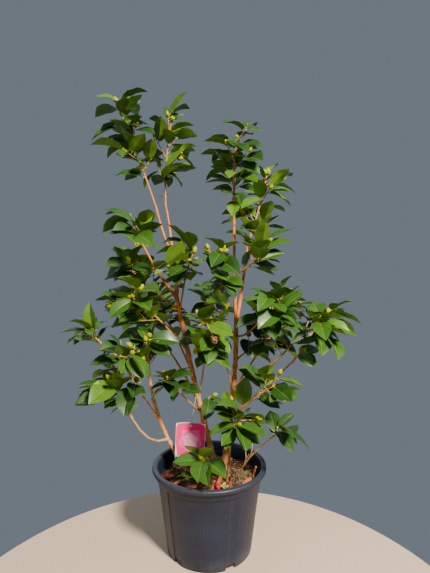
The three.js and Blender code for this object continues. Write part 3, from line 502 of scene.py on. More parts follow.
class Bud:
    """The first bud on a shoot ends it, and the others stand out beside that one."""

    def __init__(self, shoot, i, spin):
        point, heading = along(shoot.points, 1)
        self.shoot = shoot
        self.root, self.heading = point, heading
        if i:
            self.root = point - heading * 3
            self.heading = unit(heading + sideways(heading, spin + 120 * i))


def fullness(height):
    """The share of the finer growth that stands at a height: the crown's top is airy."""
    fade = (height - FINE.full_below) / (FINE.thin_above - FINE.full_below)
    return max(1 - (1 - FINE.least) * min(max(fade, 0), 1), 0)


def grow_fine(mass, near):
    """Twiglets on the mass's shoots, and smaller leaves on both, by the same rule."""
    dice = Dice(mass.seed + FINE.seed_step)
    for shoot in mass.own:
        count = int(shoot.length() * (1 - shoot.bare) / FINE.twiglet_every)
        turn = dice.between(0, 360)
        for i in range(count):
            turn += RULE.turn
            share = shoot.bare + (FINE.twiglets_end - shoot.bare) * (i + 0.5) / count
            point, heading = along(shoot.points, share)
            angle = radians(dice.between(*FINE.twiglet_angle))
            reach = dice.between(*FINE.twiglet_length)
            if dice.roll() > fullness(point[2]):
                continue
            for tries in range(FINE.twiglet_tries):
                side = sideways(heading, turn + FINE.twiglet_turn_aside * tries)
                opened = heading * cos(angle) + side * sin(angle)
                out = unit(opened + np.array((0, 0, FINE.twiglet_lift)))
                points = np.array((point, point + out * reach))
                if not touched_by_leaves(points, mass.leaves) and twig_fits(points, mass, near):
                    kind = FINE.twiglet_radius, FINE.twiglet_leaves, FINE.twiglet_bare, point
                    mass.twiglets.append(Shoot(shoot.name, points, *kind))
                    break
    shoots = mass.own + mass.twiglets
    for shoot in mass.twiglets + mass.own:
        others = Lines([other for other in shoots[1:] if other is not shoot], RULE.leaf_off_twig)
        fine = shoot.radius == FINE.twiglet_radius
        count = shoot.leaves if fine else int(shoot.length() * (1 - shoot.bare) / FINE.leaf_every)
        spin = dice.between(0, 360)
        for i in range(count):
            share = shoot.bare + (RULE.leaves_end - shoot.bare) * (i + (1 if fine else 0.5)) / count
            spin += dice.turn()
            last = fine and i == count - 1
            if not fine and dice.roll() > fullness(shoot.points[-1][2]):
                continue
            grow_leaf(mass, shoot, share, spin, dice, last, FINE.leaf_share, others)
    bearing = {id(leaf.shoot) for leaf in mass.leaves}
    mass.twiglets = [twiglet for twiglet in mass.twiglets if id(twiglet) in bearing]


def touched_by_leaves(points, leaves):
    if not leaves:
        return False
    start = points[:-1] + (points[1:] - points[:-1]) * FINE.twiglet_foot
    return pierces(start, points[1:], np.concatenate([leaf.faces for leaf in leaves]))


@lru_cache(maxsize=1)
def grown():
    """The whole plant: limbs, every stem, then twigs, leaves and finer growth mass by mass."""
    limbs = grow_limbs()
    off_twigs = Lines(limbs.values(), lambda limb: limb.radius[0] + RULE.twig_off_limb)
    off_leaves = Lines(limbs.values(), lambda limb: limb.radius[0] + RULE.leaf_off_limb)
    masses = [Mass(row, limbs) for row in MASSES]

    def foreign(mass):
        return [shoot for other in masses if other is not mass for shoot in other.own + other.twiglets]

    for mass in masses:
        grow_twigs(mass, (Lines(foreign(mass), RULE.apart), off_twigs))
    for mass in masses:
        mass.own_lines, mass.limb_lines = Lines(mass.own), off_leaves
        mass.foreign_lines = Lines(foreign(mass), RULE.leaf_off_shoot)
        grow_leaves(mass)
    for mass in masses:
        bearing = {id(item.shoot) for item in mass.leaves + mass.buds}
        mass.own = [mass.stem] + [twig for twig in mass.own[1:] if id(twig) in bearing]
    for mass in masses:
        grow_fine(mass, (Lines(foreign(mass), FINE.twiglet_apart), off_twigs))
    return limbs, masses


def linear(code):
    """A colour given as sRGB hex, as the linear colour that shaders take."""
    parts = [int(code[i:i + 2], 16) / 255 for i in (1, 3, 5)]
    return (*[p / 12.92 if p <= 0.04045 else ((p + 0.055) / 1.055) ** 2.4 for p in parts], 1)


# Kinds of node that come up often.
MATH, VECTOR, MIX = "ShaderNodeMath", "ShaderNodeVectorMath", "ShaderNodeMix"
NOISE, BUMP, RANGE = "ShaderNodeTexNoise", "ShaderNodeBump", "ShaderNodeMapRange"
ATTRIBUTE, STORE = "GeometryNodeInputNamedAttribute", "GeometryNodeStoreNamedAttribute"
REALIZE, MOVE = "GeometryNodeRealizeInstances", "GeometryNodeSetPosition"
DRESS, APART = "GeometryNodeSetMaterial", "ShaderNodeSeparateXYZ"
COLOUR, ARROW, NUMBER = {"data_type": "RGBA"}, {"data_type": "FLOAT_VECTOR"}, {"data_type": "FLOAT"}


# Their inputs in the order that tables give them. Other kinds count from 0.
INPUTS = {
    NOISE: ("Vector", "Scale", "Detail", "Roughness", "Distortion"),
    BUMP: ("Strength", "Distance", "Height", "Normal"),
    STORE: ("Geometry", "Name", "Value"),
    MIX: (0, 6, 7),
}


def add_nodes(tree, rows, **nodes):
    """Adds the nodes of a table, each row a name, a kind, its inputs by name or in order, and its
    settings or operation. An input written as name.output is linked to a node above, and any
    other is set. A row may also name a node that is there already."""
    for name, kind, inputs, *settings in rows:
        if isinstance(inputs, tuple):
            inputs = dict(zip(INPUTS.get(kind, range(9)), inputs))
        node = nodes[name] = nodes.get(name) or tree.nodes.new(kind)
        for chosen in settings:
            for key, value in ({"operation": chosen} if isinstance(chosen, str) else chosen).items():
                setattr(node, key, value)
        for key, value in inputs.items():
            if isinstance(value, str) and "." in value:
                source, output = value.split(".")
                output = int(output) if output.isdigit() else output
                tree.links.new(nodes[source].outputs[output], node.inputs[key])
            else:
                node.inputs[key].default_value = value
    return nodes


def new_tree(name, inputs, rows):
    """A geometry tree with named inputs. Its rows call them given, and their last is done."""
    tree = bpy.data.node_groups.new(name, "GeometryNodeTree")
    for label, kind in inputs.items():
        tree.interface.new_socket(label, in_out="INPUT", socket_type="NodeSocket" + kind)
    tree.interface.new_socket("Shape", in_out="OUTPUT", socket_type="NodeSocketGeometry")
    end = "end", "NodeGroupOutput", {"Shape": "done.0"}
    add_nodes(tree, (("given", "NodeGroupInput", {}), *rows, end))
    return tree


def new_object(data):
    """An object in the scene, named as its data."""
    thing = bpy.data.objects.new(data.name, data)
    bpy.context.scene.collection.objects.link(thing)
    return thing


def circle(count, radius=1, middle=(0, 0), height=(), start=0):
    """Points evenly round a circle, flat or at a height, from a start angle in radians."""
    x, y = middle
    angles = [start + 2 * pi * k / count for k in range(count)]
    return [(x + radius * cos(a), y + radius * sin(a), *height) for a in angles]


def run_tree(name, tree, start, values):
    """The plain mesh that a geometry tree makes out of a starting mesh."""
    carrier = new_object(start)
    modifier = carrier.modifiers.new(name, "NODES")
    modifier.node_group = tree
    for item in tree.interface.items_tree:
        if item.in_out == "INPUT" and item.name in values:
            modifier[item.identifier] = values[item.name]
    depsgraph = bpy.context.evaluated_depsgraph_get()
    mesh = bpy.data.meshes.new_from_object(carrier.evaluated_get(depsgraph), depsgraph=depsgraph)
    carrier.modifiers.remove(modifier)
    bpy.data.objects.remove(carrier)
    mesh.name = name
    return mesh


class Pile:
    """Corners and faces in millimetres, gathered from many bodies into one mesh in metres."""

    def __init__(self, *bodies):
        self.corners, self.faces, self.slots, self.count = [], [], [], 0
        for body in bodies:
            self.add(*body)

    def add(self, corners, faces, slot=0):
        self.corners.append(np.asarray(corners, float))
        self.faces += [tuple(i + self.count for i in face) for face in faces]
        self.slots += [slot] * len(faces)
        self.count += len(corners)

    def mesh(self, name, *materials, scale=MM, sharp=40):
        mesh = bpy.data.meshes.new(name)
        mesh.from_pydata(np.concatenate(self.corners) * scale, [], self.faces)
        for material in materials:
            mesh.materials.append(material)
        mesh.polygons.foreach_set("material_index", self.slots)
        tidy_mesh(mesh, sharp)
        return mesh


def tidy_mesh(mesh, sharp):
    """Turns every face outward and shades it smooth, except over edges sharper than this."""
    body = bmesh.new()
    body.from_mesh(mesh)
    bmesh.ops.recalc_face_normals(body, faces=body.faces)
    limit = radians(sharp)
    for face in body.faces:
        face.smooth = True
    for edge in body.edges:
        edge.smooth = len(edge.link_faces) == 2 and edge.calc_face_angle() < limit
    body.to_mesh(mesh)
    body.free()


def grid_faces(rows, columns, closed=True):
    """Faces between rows of corners that run round a closed shape or across an open one."""
    faces = []
    for i in range(rows - 1):
        for k in range(columns if closed else columns - 1):
            after = (k + 1) % columns
            a, b = i * columns + k, i * columns + after
            faces.append((a, b, b + columns, a + columns))
    return faces


def ringed_body(rings, hubs=None):
    """Corners and faces of a closed body from rings of equal count, each end closed by a fan
    about its hub, or about the ring's middle."""
    columns = len(rings[0])
    corners = [*(hubs or (np.mean(rings[0], 0), np.mean(rings[-1], 0))), *np.concatenate(rings)]
    faces = [tuple(i + 2 for i in face) for face in grid_faces(len(rings), columns)]
    last = 2 + (len(rings) - 1) * columns
    for k in range(columns):
        after = (k + 1) % columns
        faces.append((0, 2 + after, 2 + k))
        faces.append((1, last + k, last + after))
    return corners, faces


def place_piece(mesh, nodes=()):
    """A finished piece, which rides on the plant's one body and stands for these nodes."""
    piece = new_object(mesh)
    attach(piece, "root")
    if nodes:
        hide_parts(*nodes)


def new_finish(name, plain, rows):
    """A material. Plain values go on the shader's own sockets, and the rows are its nodes, which
    find the Object coordinates under place."""
    material = bpy.data.materials.new(name)
    material.use_nodes = True
    tree = material.node_tree
    shader = tree.nodes["Principled BSDF"]
    for socket, value in plain.items():
        shader.inputs[socket].default_value = value
    add_nodes(tree, (("place", "ShaderNodeTexCoord", {}), *rows), shader=shader)
    return material


def tinted(colour, share):
    """A colour made lighter or darker by a share."""
    return (*[min(c * share, 1) for c in colour[:3]], 1)


def waxy_leaf(name, colour, rib):
    """Upper side of a camellia leaf: leathery and waxed, so it is deeply coloured and mirrors the
    sky in broad soft highlights, with a thin pale midrib and faint side veins."""
    plain = {"Specular IOR Level": 0.42, "Coat Weight": 0.2, "Coat Roughness": 0.22}
    return new_finish(name, plain, (
        ("chart", "ShaderNodeUVMap", {}, {"uv_map": "across"}),
        ("flat", APART, ("chart.0",)),
        ("side", MATH, ("flat.0", 0.5), "SUBTRACT"),
        ("off", MATH, ("side.0",), "ABSOLUTE"),
        ("slant", MATH, ("off.0", -4.5), "MULTIPLY"),
        ("phase", MATH, ("flat.1", LEAF_VEINS * 2 * pi, "slant.0"), "MULTIPLY_ADD"),
        ("wave", MATH, ("phase.0",), "COSINE"),
        ("vein", RANGE, ("wave.0", 0.75, 1, 0, 0.16)),
        ("midrib", RANGE, ("off.0", 0.018, 0.006, 0, 0.62)),
        ("cloud", NOISE, ("place.Object", 42, 3)),
        ("body", MIX, ("cloud.0", tinted(colour, 0.68), tinted(colour, 1.34)), COLOUR),
        ("veined", MIX, ("vein.0", "body.2", tinted(colour, 1.7)), COLOUR),
        ("ribbed", MIX, ("midrib.0", "veined.2", rib), COLOUR),
        ("rough", RANGE, ("cloud.0", 0.3, 0.7, 0.4, 0.55)),
        ("ridge", MATH, ("midrib.0", 3.0, "vein.0"), "MULTIPLY_ADD"),
        ("grain", NOISE, ("place.Object", 800, 2)),
        ("sunk", BUMP, (0.22, 0.0004, "ridge.0"), {"invert": True}),
        ("skin", BUMP, (0.08, 0.0003, "grain.0", "sunk.0")),
        ("shader", None, {"Base Color": "ribbed.2", "Roughness": "rough.0", "Normal": "skin.0"}),
    ))


def flushed(name, low, high, grain, roughness=0.5, relief=0.3, distance=0.0004, warp=0.0, shine=0.5):
    """Leaf undersides, bud scales, petals, moss and wood: matt, and mottled between two colours
    in spots of about a grain, in millimetres, with a fine relief."""
    scale = 1 / (grain * MM)
    return new_finish(name, {"Roughness": roughness, "Specular IOR Level": shine}, (
        ("cloud", NOISE, {"Vector": "place.Object", "Scale": scale, "Detail": 4, "Distortion": warp}),
        ("sharp", RANGE, ("cloud.0", 0.3, 0.7)),
        ("body", MIX, ("sharp.0", low, high), COLOUR),
        ("skin", BUMP, (relief, distance, "cloud.0")),
        ("shader", None, {"Base Color": "body.2", "Normal": "skin.0"}),
    ))


def smooth_bark(name, settings):
    """Camellia bark: thin, smooth and finely streaked along the shoot, which its grain attribute
    follows. It is grey-beige where old and cinnamon on young wood."""
    return new_finish(name, {"Roughness": 0.72, "Specular IOR Level": 0.25}, (
        ("grain", "ShaderNodeAttribute", {}, {"attribute_name": "grain"}),
        ("thick", "ShaderNodeAttribute", {}, {"attribute_name": "thick"}),
        ("streak", NOISE, ("grain.Vector", 700, 5)),
        ("patch", NOISE, ("place.Object", 38, 5, 0.6)),
        ("speck", NOISE, ("place.Object", 420, 3)),
        ("age", RANGE, ("thick.Fac", 0.0009, 0.003)),
        ("young", MIX, ("age.0", settings.young, settings.cinnamon), COLOUR),
        ("height", APART, ("place.Object",)),
        ("low", RANGE, ("height.2", 0.62, 0.24, 0.08, 0.85)),
        ("worn", RANGE, ("patch.0", 0.4, 0.62, 0, "low.0")),
        ("body", MIX, ("worn.0", "young.2", settings.old), COLOUR),
        ("dark", RANGE, ("streak.0", 0.6, 0.4, 0, 0.4)),
        ("creased", MIX, ("dark.0", "body.2", settings.crease), COLOUR),
        ("pale", RANGE, ("speck.0", 0.6, 0.75, 0, 0.32)),
        ("flecked", MIX, ("pale.0", "creased.2", settings.fleck), COLOUR),
        ("furrow", BUMP, (0.5, 0.0006, "streak.0")),
        ("skin", BUMP, (0.25, 0.0004, "speck.0", "furrow.0")),
        ("shader", None, {"Base Color": "flecked.2", "Normal": "skin.0"}),
    ))


def moulded_pot(name, settings):
    """Nursery pot: injection-moulded polypropylene, black going grey, satin, with upright scuffs,
    dried soil on its foot, and a painted highlight along the top of the rim."""
    return new_finish(name, {"Specular IOR Level": 0.4}, (
        ("long", "ShaderNodeMapping", {"Vector": "place.Object", "Scale": (420, 420, 22)}),
        ("scratch", NOISE, ("long.0", 1, 4, 0.65)),
        ("cloud", NOISE, ("place.Object", 14, 6, 0.62)),
        ("pit", NOISE, ("place.Object", 800, 2)),
        ("spot", "ShaderNodeTexVoronoi", {"Vector": "place.Object", "Scale": 55}),
        ("scuffs", RANGE, ("scratch.0", 0.58, 0.8, 0, 0.5)),
        ("worn", RANGE, ("cloud.0", 0.4, 0.75)),
        ("body", MIX, ("worn.0", settings.plastic, settings.worn), COLOUR),
        ("scuffed", MIX, ("scuffs.0", "body.2", settings.scuff), COLOUR),
        ("height", APART, ("place.Object",)),
        ("low", RANGE, ("height.2", 0.04, 0, 0, 0.4)),
        # Painted highlight: the band at the top of the rim is lightened towards the pale grey of dried
        # soil.
        ("rim", RANGE, ("height.2", 0.205, 0.214, 0, 0.15)),
        ("dust", MATH, ("low.0", "worn.0", "rim.0"), "MULTIPLY_ADD"),
        ("dusty", MIX, ("dust.0", "scuffed.2", settings.dust), COLOUR),
        ("dots", RANGE, ("spot.0", 0.09, 0.05, 0, 0.5)),
        ("few", MATH, ("dots.0", "worn.0"), "MULTIPLY"),
        ("dotted", MIX, ("few.0", "dusty.2", settings.dust), COLOUR),
        ("rough", RANGE, ("cloud.0", 0, 1, 0.34, 0.56)),
        ("scored", BUMP, (0.1, 0.0004, "scratch.0")),
        ("skin", BUMP, (0.08, 0.0003, "pit.0", "scored.0")),
        ("shader", None, {"Base Color": "dotted.2", "Roughness": "rough.0", "Normal": "skin.0"}),
    ))


def damp_mix(name, settings):
    """Bark potting mix: composted fines between the chips, with near-black painted shade in the gaps."""
    return new_finish(name, {"Roughness": 0.95}, (
        ("crumb", NOISE, ("place.Object", 210, 6, 0.7)),
        ("flake", "ShaderNodeTexVoronoi", {"Vector": "place.Object", "Scale": 130}),
        ("sharp", RANGE, ("crumb.0", 0.4, 0.68)),
        # Painted shade: the near-black gaps colour mixed into the fines in patches.
        ("body", MIX, ("sharp.0", settings.gaps, settings.fines), COLOUR),
        ("lumps", BUMP, (0.9, 0.002, "crumb.0")),
        ("skin", BUMP, (0.5, 0.0015, "flake.0", "lumps.0")),
        ("shader", None, {"Base Color": "body.2", "Normal": "skin.0"}),
    ))


def printed_card(name, colour):
    """Laminated printed card: smooth, with a thin clear film over the ink."""
    plain = {"Roughness": 0.5, "Specular IOR Level": 0.3, "Coat Weight": 0.04, "Coat Roughness": 0.2}
    return new_finish(name, plain, (
        ("cloud", NOISE, ("place.Object", 60, 3)),
        ("body", MIX, ("cloud.0", tinted(colour, 0.85), tinted(colour, 1.12)), COLOUR),
        ("shader", None, {"Base Color": "body.2"}),
    ))


# A leaf along its length: where its blade starts and its stations. Its section gives each
# corner's place across, as a share of the half-width, and its height in skins.
BLADE_START = 0.1
LEAF_STATIONS = (0.106, 0.16, 0.27, 0.41, 0.56, 0.7, 0.82, 0.92, 1)
LEAF_SECTION = ((-1, 0), (-0.55, 1.5), (0, 0), (0.55, 1.5), (1, 0), (0, -1.4))
LEAF_VEINS = 10
LEAF_SKIN = 0.5
STALK = Sizes(radius=1.15, stations=(0, 0.14))


def blade_half(share):
    """Half the blade's width at a share of the leaf's length, as a share of its widest: oval,
    broadest just short of its middle, and drawn out to a short point."""
    t = min(max((share - BLADE_START) / (1 - BLADE_START), 0), 1)
    drawn = max(t - 0.6, 0) / 0.4
    return max(max(sin(pi * t ** 0.9), 0) ** 0.6 * (1 - 0.64 * drawn * drawn), 0.02)


def leaf_blank(finishes):
    """The flat leaf that all are bent from. It runs from 0 to 1 along its length and from -1 to 1
    across its widest, and only its thickness is a real size."""
    pile, rings = Pile(), []
    for share in LEAF_STATIONS:
        half = blade_half(share)
        rings.append([(x * half, share, z * LEAF_SKIN * MM * half ** 0.5) for x, z in LEAF_SECTION])
    corners, count = np.concatenate(rings), len(LEAF_SECTION)
    faces = grid_faces(len(rings), count)
    ends = tuple(range(count))[::-1], tuple(range(len(corners) - count, len(corners)))
    pile.add(corners, [*faces, *ends])
    pile.slots = [0, 0, 0, 0, 1, 1] * (len(rings) - 1) + [1, 1]
    stalk, thick = [], STALK.radius
    across = 2 * thick / (RULE.leaf_width * RULE.leaf_length)
    for share in STALK.stations:
        stalk += [(across * x, share, thick * MM * (z - 0.6)) for x, z in circle(4)]
    pile.add(stalk, [*grid_faces(2, 4), (3, 2, 1, 0), (4, 5, 6, 7)], 2)
    mesh = pile.mesh("leaf_blank", *finishes, scale=1, sharp=70)
    for edge in mesh.edges:
        a, b = (mesh.vertices[i].co.x for i in edge.vertices)
        edge.use_edge_sharp = edge.use_edge_sharp or a == b == 0
    layer = mesh.uv_layers.new(name="across")
    for loop in mesh.loops:
        x, share, _ = mesh.vertices[loop.vertex_index].co
        half = blade_half(share)
        layer.data[loop.index].uv = (0.5 + 0.5 * max(min(x / half, 1), -1), share)
    return mesh


def leaf_tree():
    """Puts the blank on each leaf's root and bends it: its midrib droops evenly, and its halves
    fold up and ripple a little."""
    inputs = {"Roots": "Geometry", "Blank": "Object", "Half width": "Float", "Upper side": "Material"}
    facts = [(name, ATTRIBUTE, (name,), {"data_type": kind}) for name, kind in LEAF_FACTS.items()]
    return new_tree("Leaf spray", inputs, (
        *facts,
        ("blank", "GeometryNodeObjectInfo", {"Object": "given.Blank"}),
        ("laid", "GeometryNodeInstanceOnPoints", {"Points": "given.Roots", "Instance": "blank.Geometry"}),
        ("solid", REALIZE, ("laid.0",)),
        ("here", "GeometryNodeInputPosition", {}),
        ("own", VECTOR, ("here.0", "root.0"), "SUBTRACT"),
        ("flat", APART, ("own.0",)),
        ("bend", MATH, ("droop.0", "flat.1"), "MULTIPLY"),
        ("sine", MATH, ("bend.0",), "SINE"),
        ("cosine", MATH, ("bend.0",), "COSINE"),
        ("arm", MATH, ("length.0", "droop.0"), "DIVIDE"),
        ("far", MATH, ("arm.0", "sine.0"), "MULTIPLY"),
        ("ahead", VECTOR, ("heading.0", "far.0", "root.0"), "MULTIPLY_ADD"),
        ("dip", MATH, ("cosine.0", 1.0), "SUBTRACT"),
        ("deep", MATH, ("arm.0", "dip.0"), "MULTIPLY"),
        ("midrib", VECTOR, ("rise.0", "deep.0", "ahead.0"), "MULTIPLY_ADD"),
        ("upright", VECTOR, ("rise.0", "cosine.0"), "MULTIPLY"),
        ("above", VECTOR, ("heading.0", "sine.0", "upright.0"), "MULTIPLY_ADD"),
        ("across", VECTOR, ("heading.0", "rise.0"), "CROSS_PRODUCT"),
        ("wide", MATH, ("length.0", "given.Half width"), "MULTIPLY"),
        ("half", MATH, ("wide.0", "breadth.0"), "MULTIPLY"),
        ("out", MATH, ("flat.0", "half.0"), "MULTIPLY"),
        ("size", MATH, ("out.0",), "ABSOLUTE"),
        ("phase", MATH, ("flat.1", 15, "ripple.0"), "MULTIPLY_ADD"),
        ("wave", MATH, ("phase.0",), "SINE"),
        ("swing", MATH, ("wave.0", "size.0"), "MULTIPLY"),
        ("steep", MATH, ("fold.0",), "SINE"),
        ("rising", MATH, ("size.0", "steep.0", "flat.2"), "MULTIPLY_ADD"),
        ("lift", MATH, ("swing.0", 0.06, "rising.0"), "MULTIPLY_ADD"),
        ("shallow", MATH, ("fold.0",), "COSINE"),
        ("reach", MATH, ("out.0", "shallow.0"), "MULTIPLY"),
        ("side", VECTOR, ("across.0", "reach.0", "midrib.0"), "MULTIPLY_ADD"),
        ("place", VECTOR, ("above.0", "lift.0", "side.0"), "MULTIPLY_ADD"),
        ("leaf", MOVE, {"Geometry": "solid.0", "Position": "place.0"}),
        ("index", "GeometryNodeInputMaterialIndex", {}),
        ("upper", "FunctionNodeCompare", {2: "index.0", 3: 0}, {"data_type": "INT"}, "EQUAL"),
        ("done", DRESS, {"Geometry": "leaf.0", "Selection": "upper.0", "Material": "given.Upper side"}),
    ))


# What each leaf's bending needs: arrows and numbers, in metres and radians.
LEAF_FACTS = dict.fromkeys(("root", "heading", "rise"), "FLOAT_VECTOR")
LEAF_FACTS.update(dict.fromkeys(("length", "droop", "fold", "ripple", "breadth"), "FLOAT"))
# How far one leaf's fold in degrees, its ripple's start and its breadth stray.
LEAF_STRAY = Sizes(fold=(-9, 6), ripple=(0, 6.28), breadth=(0.9, 1.1), least_droop=3)


def leaf_roots(name, leaves):
    """A point for each leaf, with its facts."""
    rows = []
    for i, leaf in enumerate(leaves):
        dice = Dice(17 + 31 * i)
        droop = radians(max(leaf.droop, LEAF_STRAY.least_droop))
        fold = radians(RULE.leaf_fold + dice.between(*LEAF_STRAY.fold))
        stray = dice.between(*LEAF_STRAY.ripple), dice.between(*LEAF_STRAY.breadth)
        rows.append((leaf.root * MM, leaf.heading, leaf.up, leaf.length * MM, droop, fold, *stray))
    mesh = bpy.data.meshes.new(name)
    mesh.from_pydata([row[0] for row in rows], [], [])
    for (fact, kind), values in zip(LEAF_FACTS.items(), zip(*rows)):
        layer = mesh.attributes.new(fact, kind, "POINT")
        key = "vector" if kind == "FLOAT_VECTOR" else "value"
        layer.data.foreach_set(key, np.array(values, np.float32).ravel())
    return mesh


def rod_tree():
    """Makes lines that carry their thickness into closed round rods with a relief, and with a
    grain attribute for the bark."""
    inputs = {"Lines": "Geometry", "Sides": "Int", "Relief": "Float", "Bark": "Material"}
    return new_tree("Barked rods", inputs, (
        ("here", "GeometryNodeInputPosition", {}),
        ("kept", STORE, ("given.Lines", "axis", "here.0"), ARROW),
        ("curves", "GeometryNodeMeshToCurve", {"Mesh": "kept.0"}),
        ("spline", "GeometryNodeSplineParameter", {}),
        ("measured", STORE, ("curves.0", "run", "spline.Length"), NUMBER),
        ("thick", ATTRIBUTE, ("thick",), NUMBER),
        ("ring", "GeometryNodeCurvePrimitiveCircle", {"Resolution": "given.Sides", "Radius": 1.0}),
        ("rods", "GeometryNodeCurveToMesh",
            {"Curve": "measured.0", "Profile Curve": "ring.0", "Scale": "thick.0", "Fill Caps": True}),
        ("axis", ATTRIBUTE, ("axis",), ARROW),
        ("run", ATTRIBUTE, ("run",), NUMBER),
        ("spoke", VECTOR, ("here.0", "axis.0"), "SUBTRACT"),
        ("slow", MATH, ("run.0", 0.14), "MULTIPLY"),
        ("along", "ShaderNodeCombineXYZ", {2: "slow.0"}),
        ("follow", VECTOR, ("spoke.0", "along.0"), "ADD"),
        ("grained", STORE, ("rods.0", "grain", "follow.0"), ARROW),
        ("grain", ATTRIBUTE, ("grain",), ARROW),
        ("rough", NOISE, ("grain.0", 260, 3)),
        ("even", MATH, ("rough.0", 0.5), "SUBTRACT"),
        ("share", MATH, ("even.0", "given.Relief"), "MULTIPLY"),
        ("rise", MATH, ("share.0", "thick.0"), "MULTIPLY"),
        ("normal", "GeometryNodeInputNormal", {}),
        ("push", VECTOR, ("normal.0", "rise.0"), "MULTIPLY"),
        ("barked", MOVE, {"Geometry": "grained.0", "Offset": "push.0"}),
        ("solid", REALIZE, ("barked.0",)),
        ("done", DRESS, {"Geometry": "solid.0", "Material": "given.Bark"}),
    ))


def eased(points, step, corner=8):
    """A polyline with its corners rounded, as points about a step apart, in millimetres."""
    bends = [points[0]]
    for before, here, after in zip(points, points[1:], points[2:]):
        back, fore = (way * min(corner / size(way), 0.4) for way in (before - here, after - here))
        bends += [here + back * (1 - t) ** 2 + fore * t * t for t in (0, 0.25, 0.5, 0.75, 1)]
    bends.append(points[-1])
    line = [bends[0]]
    for here, after in zip(bends, bends[1:]):
        count = max(ceil(size(after - here) / step), 1)
        line += [here + (after - here) * (i + 1) / count for i in range(count)]
    return np.array(line)


# How far a shoot swells and over what length: at its nodes and in its collar by its own radius,
# and at the soil in millimetres. Then where the nodes of a bare bough are, and its steps.
BARK = Sizes(
    node=0.22, node_length=1.2, collar=0.35, collar_length=1.6, flare=0.42, flare_length=6, sunk=3,
    first_node=(0.06, 0.16), node_every=(24, 46), last_node=0.96, bough_step=3.4, twig_step=4,
)


def rod_line(shoot, step, nodes=(), parent=0):
    """The line that a shoot's rod follows and its thickness there. It starts inside what it grows
    from with a collar, swells at its nodes, and ends in a dome."""
    points = shoot.points
    line = eased(points, step)
    wide, thin = shoot.radius
    run = np.concatenate([[0], np.cumsum(size(np.diff(line, axis=0)))])
    radius = wide + (thin - wide) * run / run[-1]
    for share in nodes:
        off = (run - share * run[-1]) / (BARK.node_length * wide)
        radius = radius * (1 + BARK.node * np.exp(-off ** 2))
    if shoot.joint is None:
        radius = radius * (1 + BARK.flare * np.exp(-run / BARK.flare_length))
        line[0][2] = SOIL.level - BARK.sunk
    else:
        off = np.maximum(run - parent, 0) / (BARK.collar_length * wide)
        radius = radius * (1 + BARK.collar * np.exp(-off))
        if size(shoot.joint - line[0]) > 0.1:
            inner = shoot.joint + (line[0] - shoot.joint) * np.array([[0.0], [0.5]])
            line = np.vstack((inner, line))
            radius = np.concatenate([[radius[0]] * 2, radius])
    heading = unit(points[-1] - points[-2])
    dome = [line[-1] + heading * radius[-1] * share for share in (0.45, 0.8, 0.98)]
    radius = np.concatenate([radius, radius[-1] * np.array([0.88, 0.58, 0.15])])
    return np.vstack((line, dome)), radius


def rods_mesh(name, lines, sides, relief, bark):
    """All these lines as one mesh of barked rods."""
    mesh = bpy.data.meshes.new(name + "_lines")
    edges, thick, count = [], [], 0
    for line, radius in lines:
        edges += [(count + i, count + i + 1) for i in range(len(line) - 1)]
        thick.append(radius * MM)
        count += len(line)
    mesh.from_pydata(np.concatenate([line for line, _ in lines]) * MM, edges, [])
    layer = mesh.attributes.new("thick", "FLOAT", "POINT")
    layer.data.foreach_set("value", np.concatenate(thick).astype(np.float32))
    made = run_tree(name, rod_tree(), mesh, {"Sides": sides, "Relief": relief, "Bark": bark})
    tidy_mesh(made, 60)
    return made


def bud_body(root, heading, length, radius, rows=8, sides=8, wraps=2.6):
    """A bud wrapped in overlapping scales: an egg with a stepped spiral round it."""
    across = sideways(heading, 0)
    over = cross(heading, across)
    rings = []
    for i in range(rows):
        t = min(max(i / (rows - 1), 0.02), 0.985)
        ring = []
        for k, (x, y) in enumerate(circle(sides)):
            step = (wraps * t + 2 * k / sides) % 1
            swell = radius * sin(pi * t ** 0.86) ** 0.72 * (1.04 - 0.1 * step)
            ring.append(root + heading * (length * t) + (across * x + over * y) * swell)
        rings.append(ring)
    return ringed_body(rings)


def petal_body(root, heading, face, length, width, curl, seed):
    """A crumpled petal: a thin closed strip that curls and is creased at random."""
    dice = Dice(seed)
    across = unit(cross(heading, face))
    rings = []
    middle, way = root, heading
    for i in range(6):
        t = i / 5
        half = 0.5 * width * max(sin(pi * (0.12 + 0.8 * t)), 0.1)
        bend = radians(curl * t) + dice.between(-0.25, 0.25)
        way = heading * cos(bend) - cross(across, heading) * sin(bend)
        up = cross(across, way)
        top = [(x, dice.between(-0.16, 0.16) * width) for x in (-1, -0.4, 0.3, 1)]
        ring = [middle + across * (x * half) + up * (z + abs(x) * half * 0.5) for x, z in top]
        ring += [point - up * 0.5 for point in reversed(ring)]
        rings.append(ring)
        middle = middle + way * (length / 5)
    return ringed_body(rings)


def make_limbs(settings):
    """Trunks from the soil, and the boughs on them, each kind as one piece."""
    limbs, _ = grown()
    bark = smooth_bark("camellia_bark", settings)
    for name, standing in (("trunk_bark", True), ("bough_bark", False)):
        chosen = [limb for limb in limbs.values() if (limb.joint is None) == standing]
        lines = []
        for i, limb in enumerate(chosen):
            dice = Dice(300 + i)
            nodes, share = [], dice.between(*BARK.first_node)
            while share < BARK.last_node:
                nodes.append(share)
                share += dice.between(*BARK.node_every) / limb.length()
            lines.append(rod_line(limb, BARK.bough_step, nodes))
        mesh = rods_mesh(name, lines, settings.sides, settings.relief, bark)
        place_piece(mesh, [limb.name for limb in chosen])


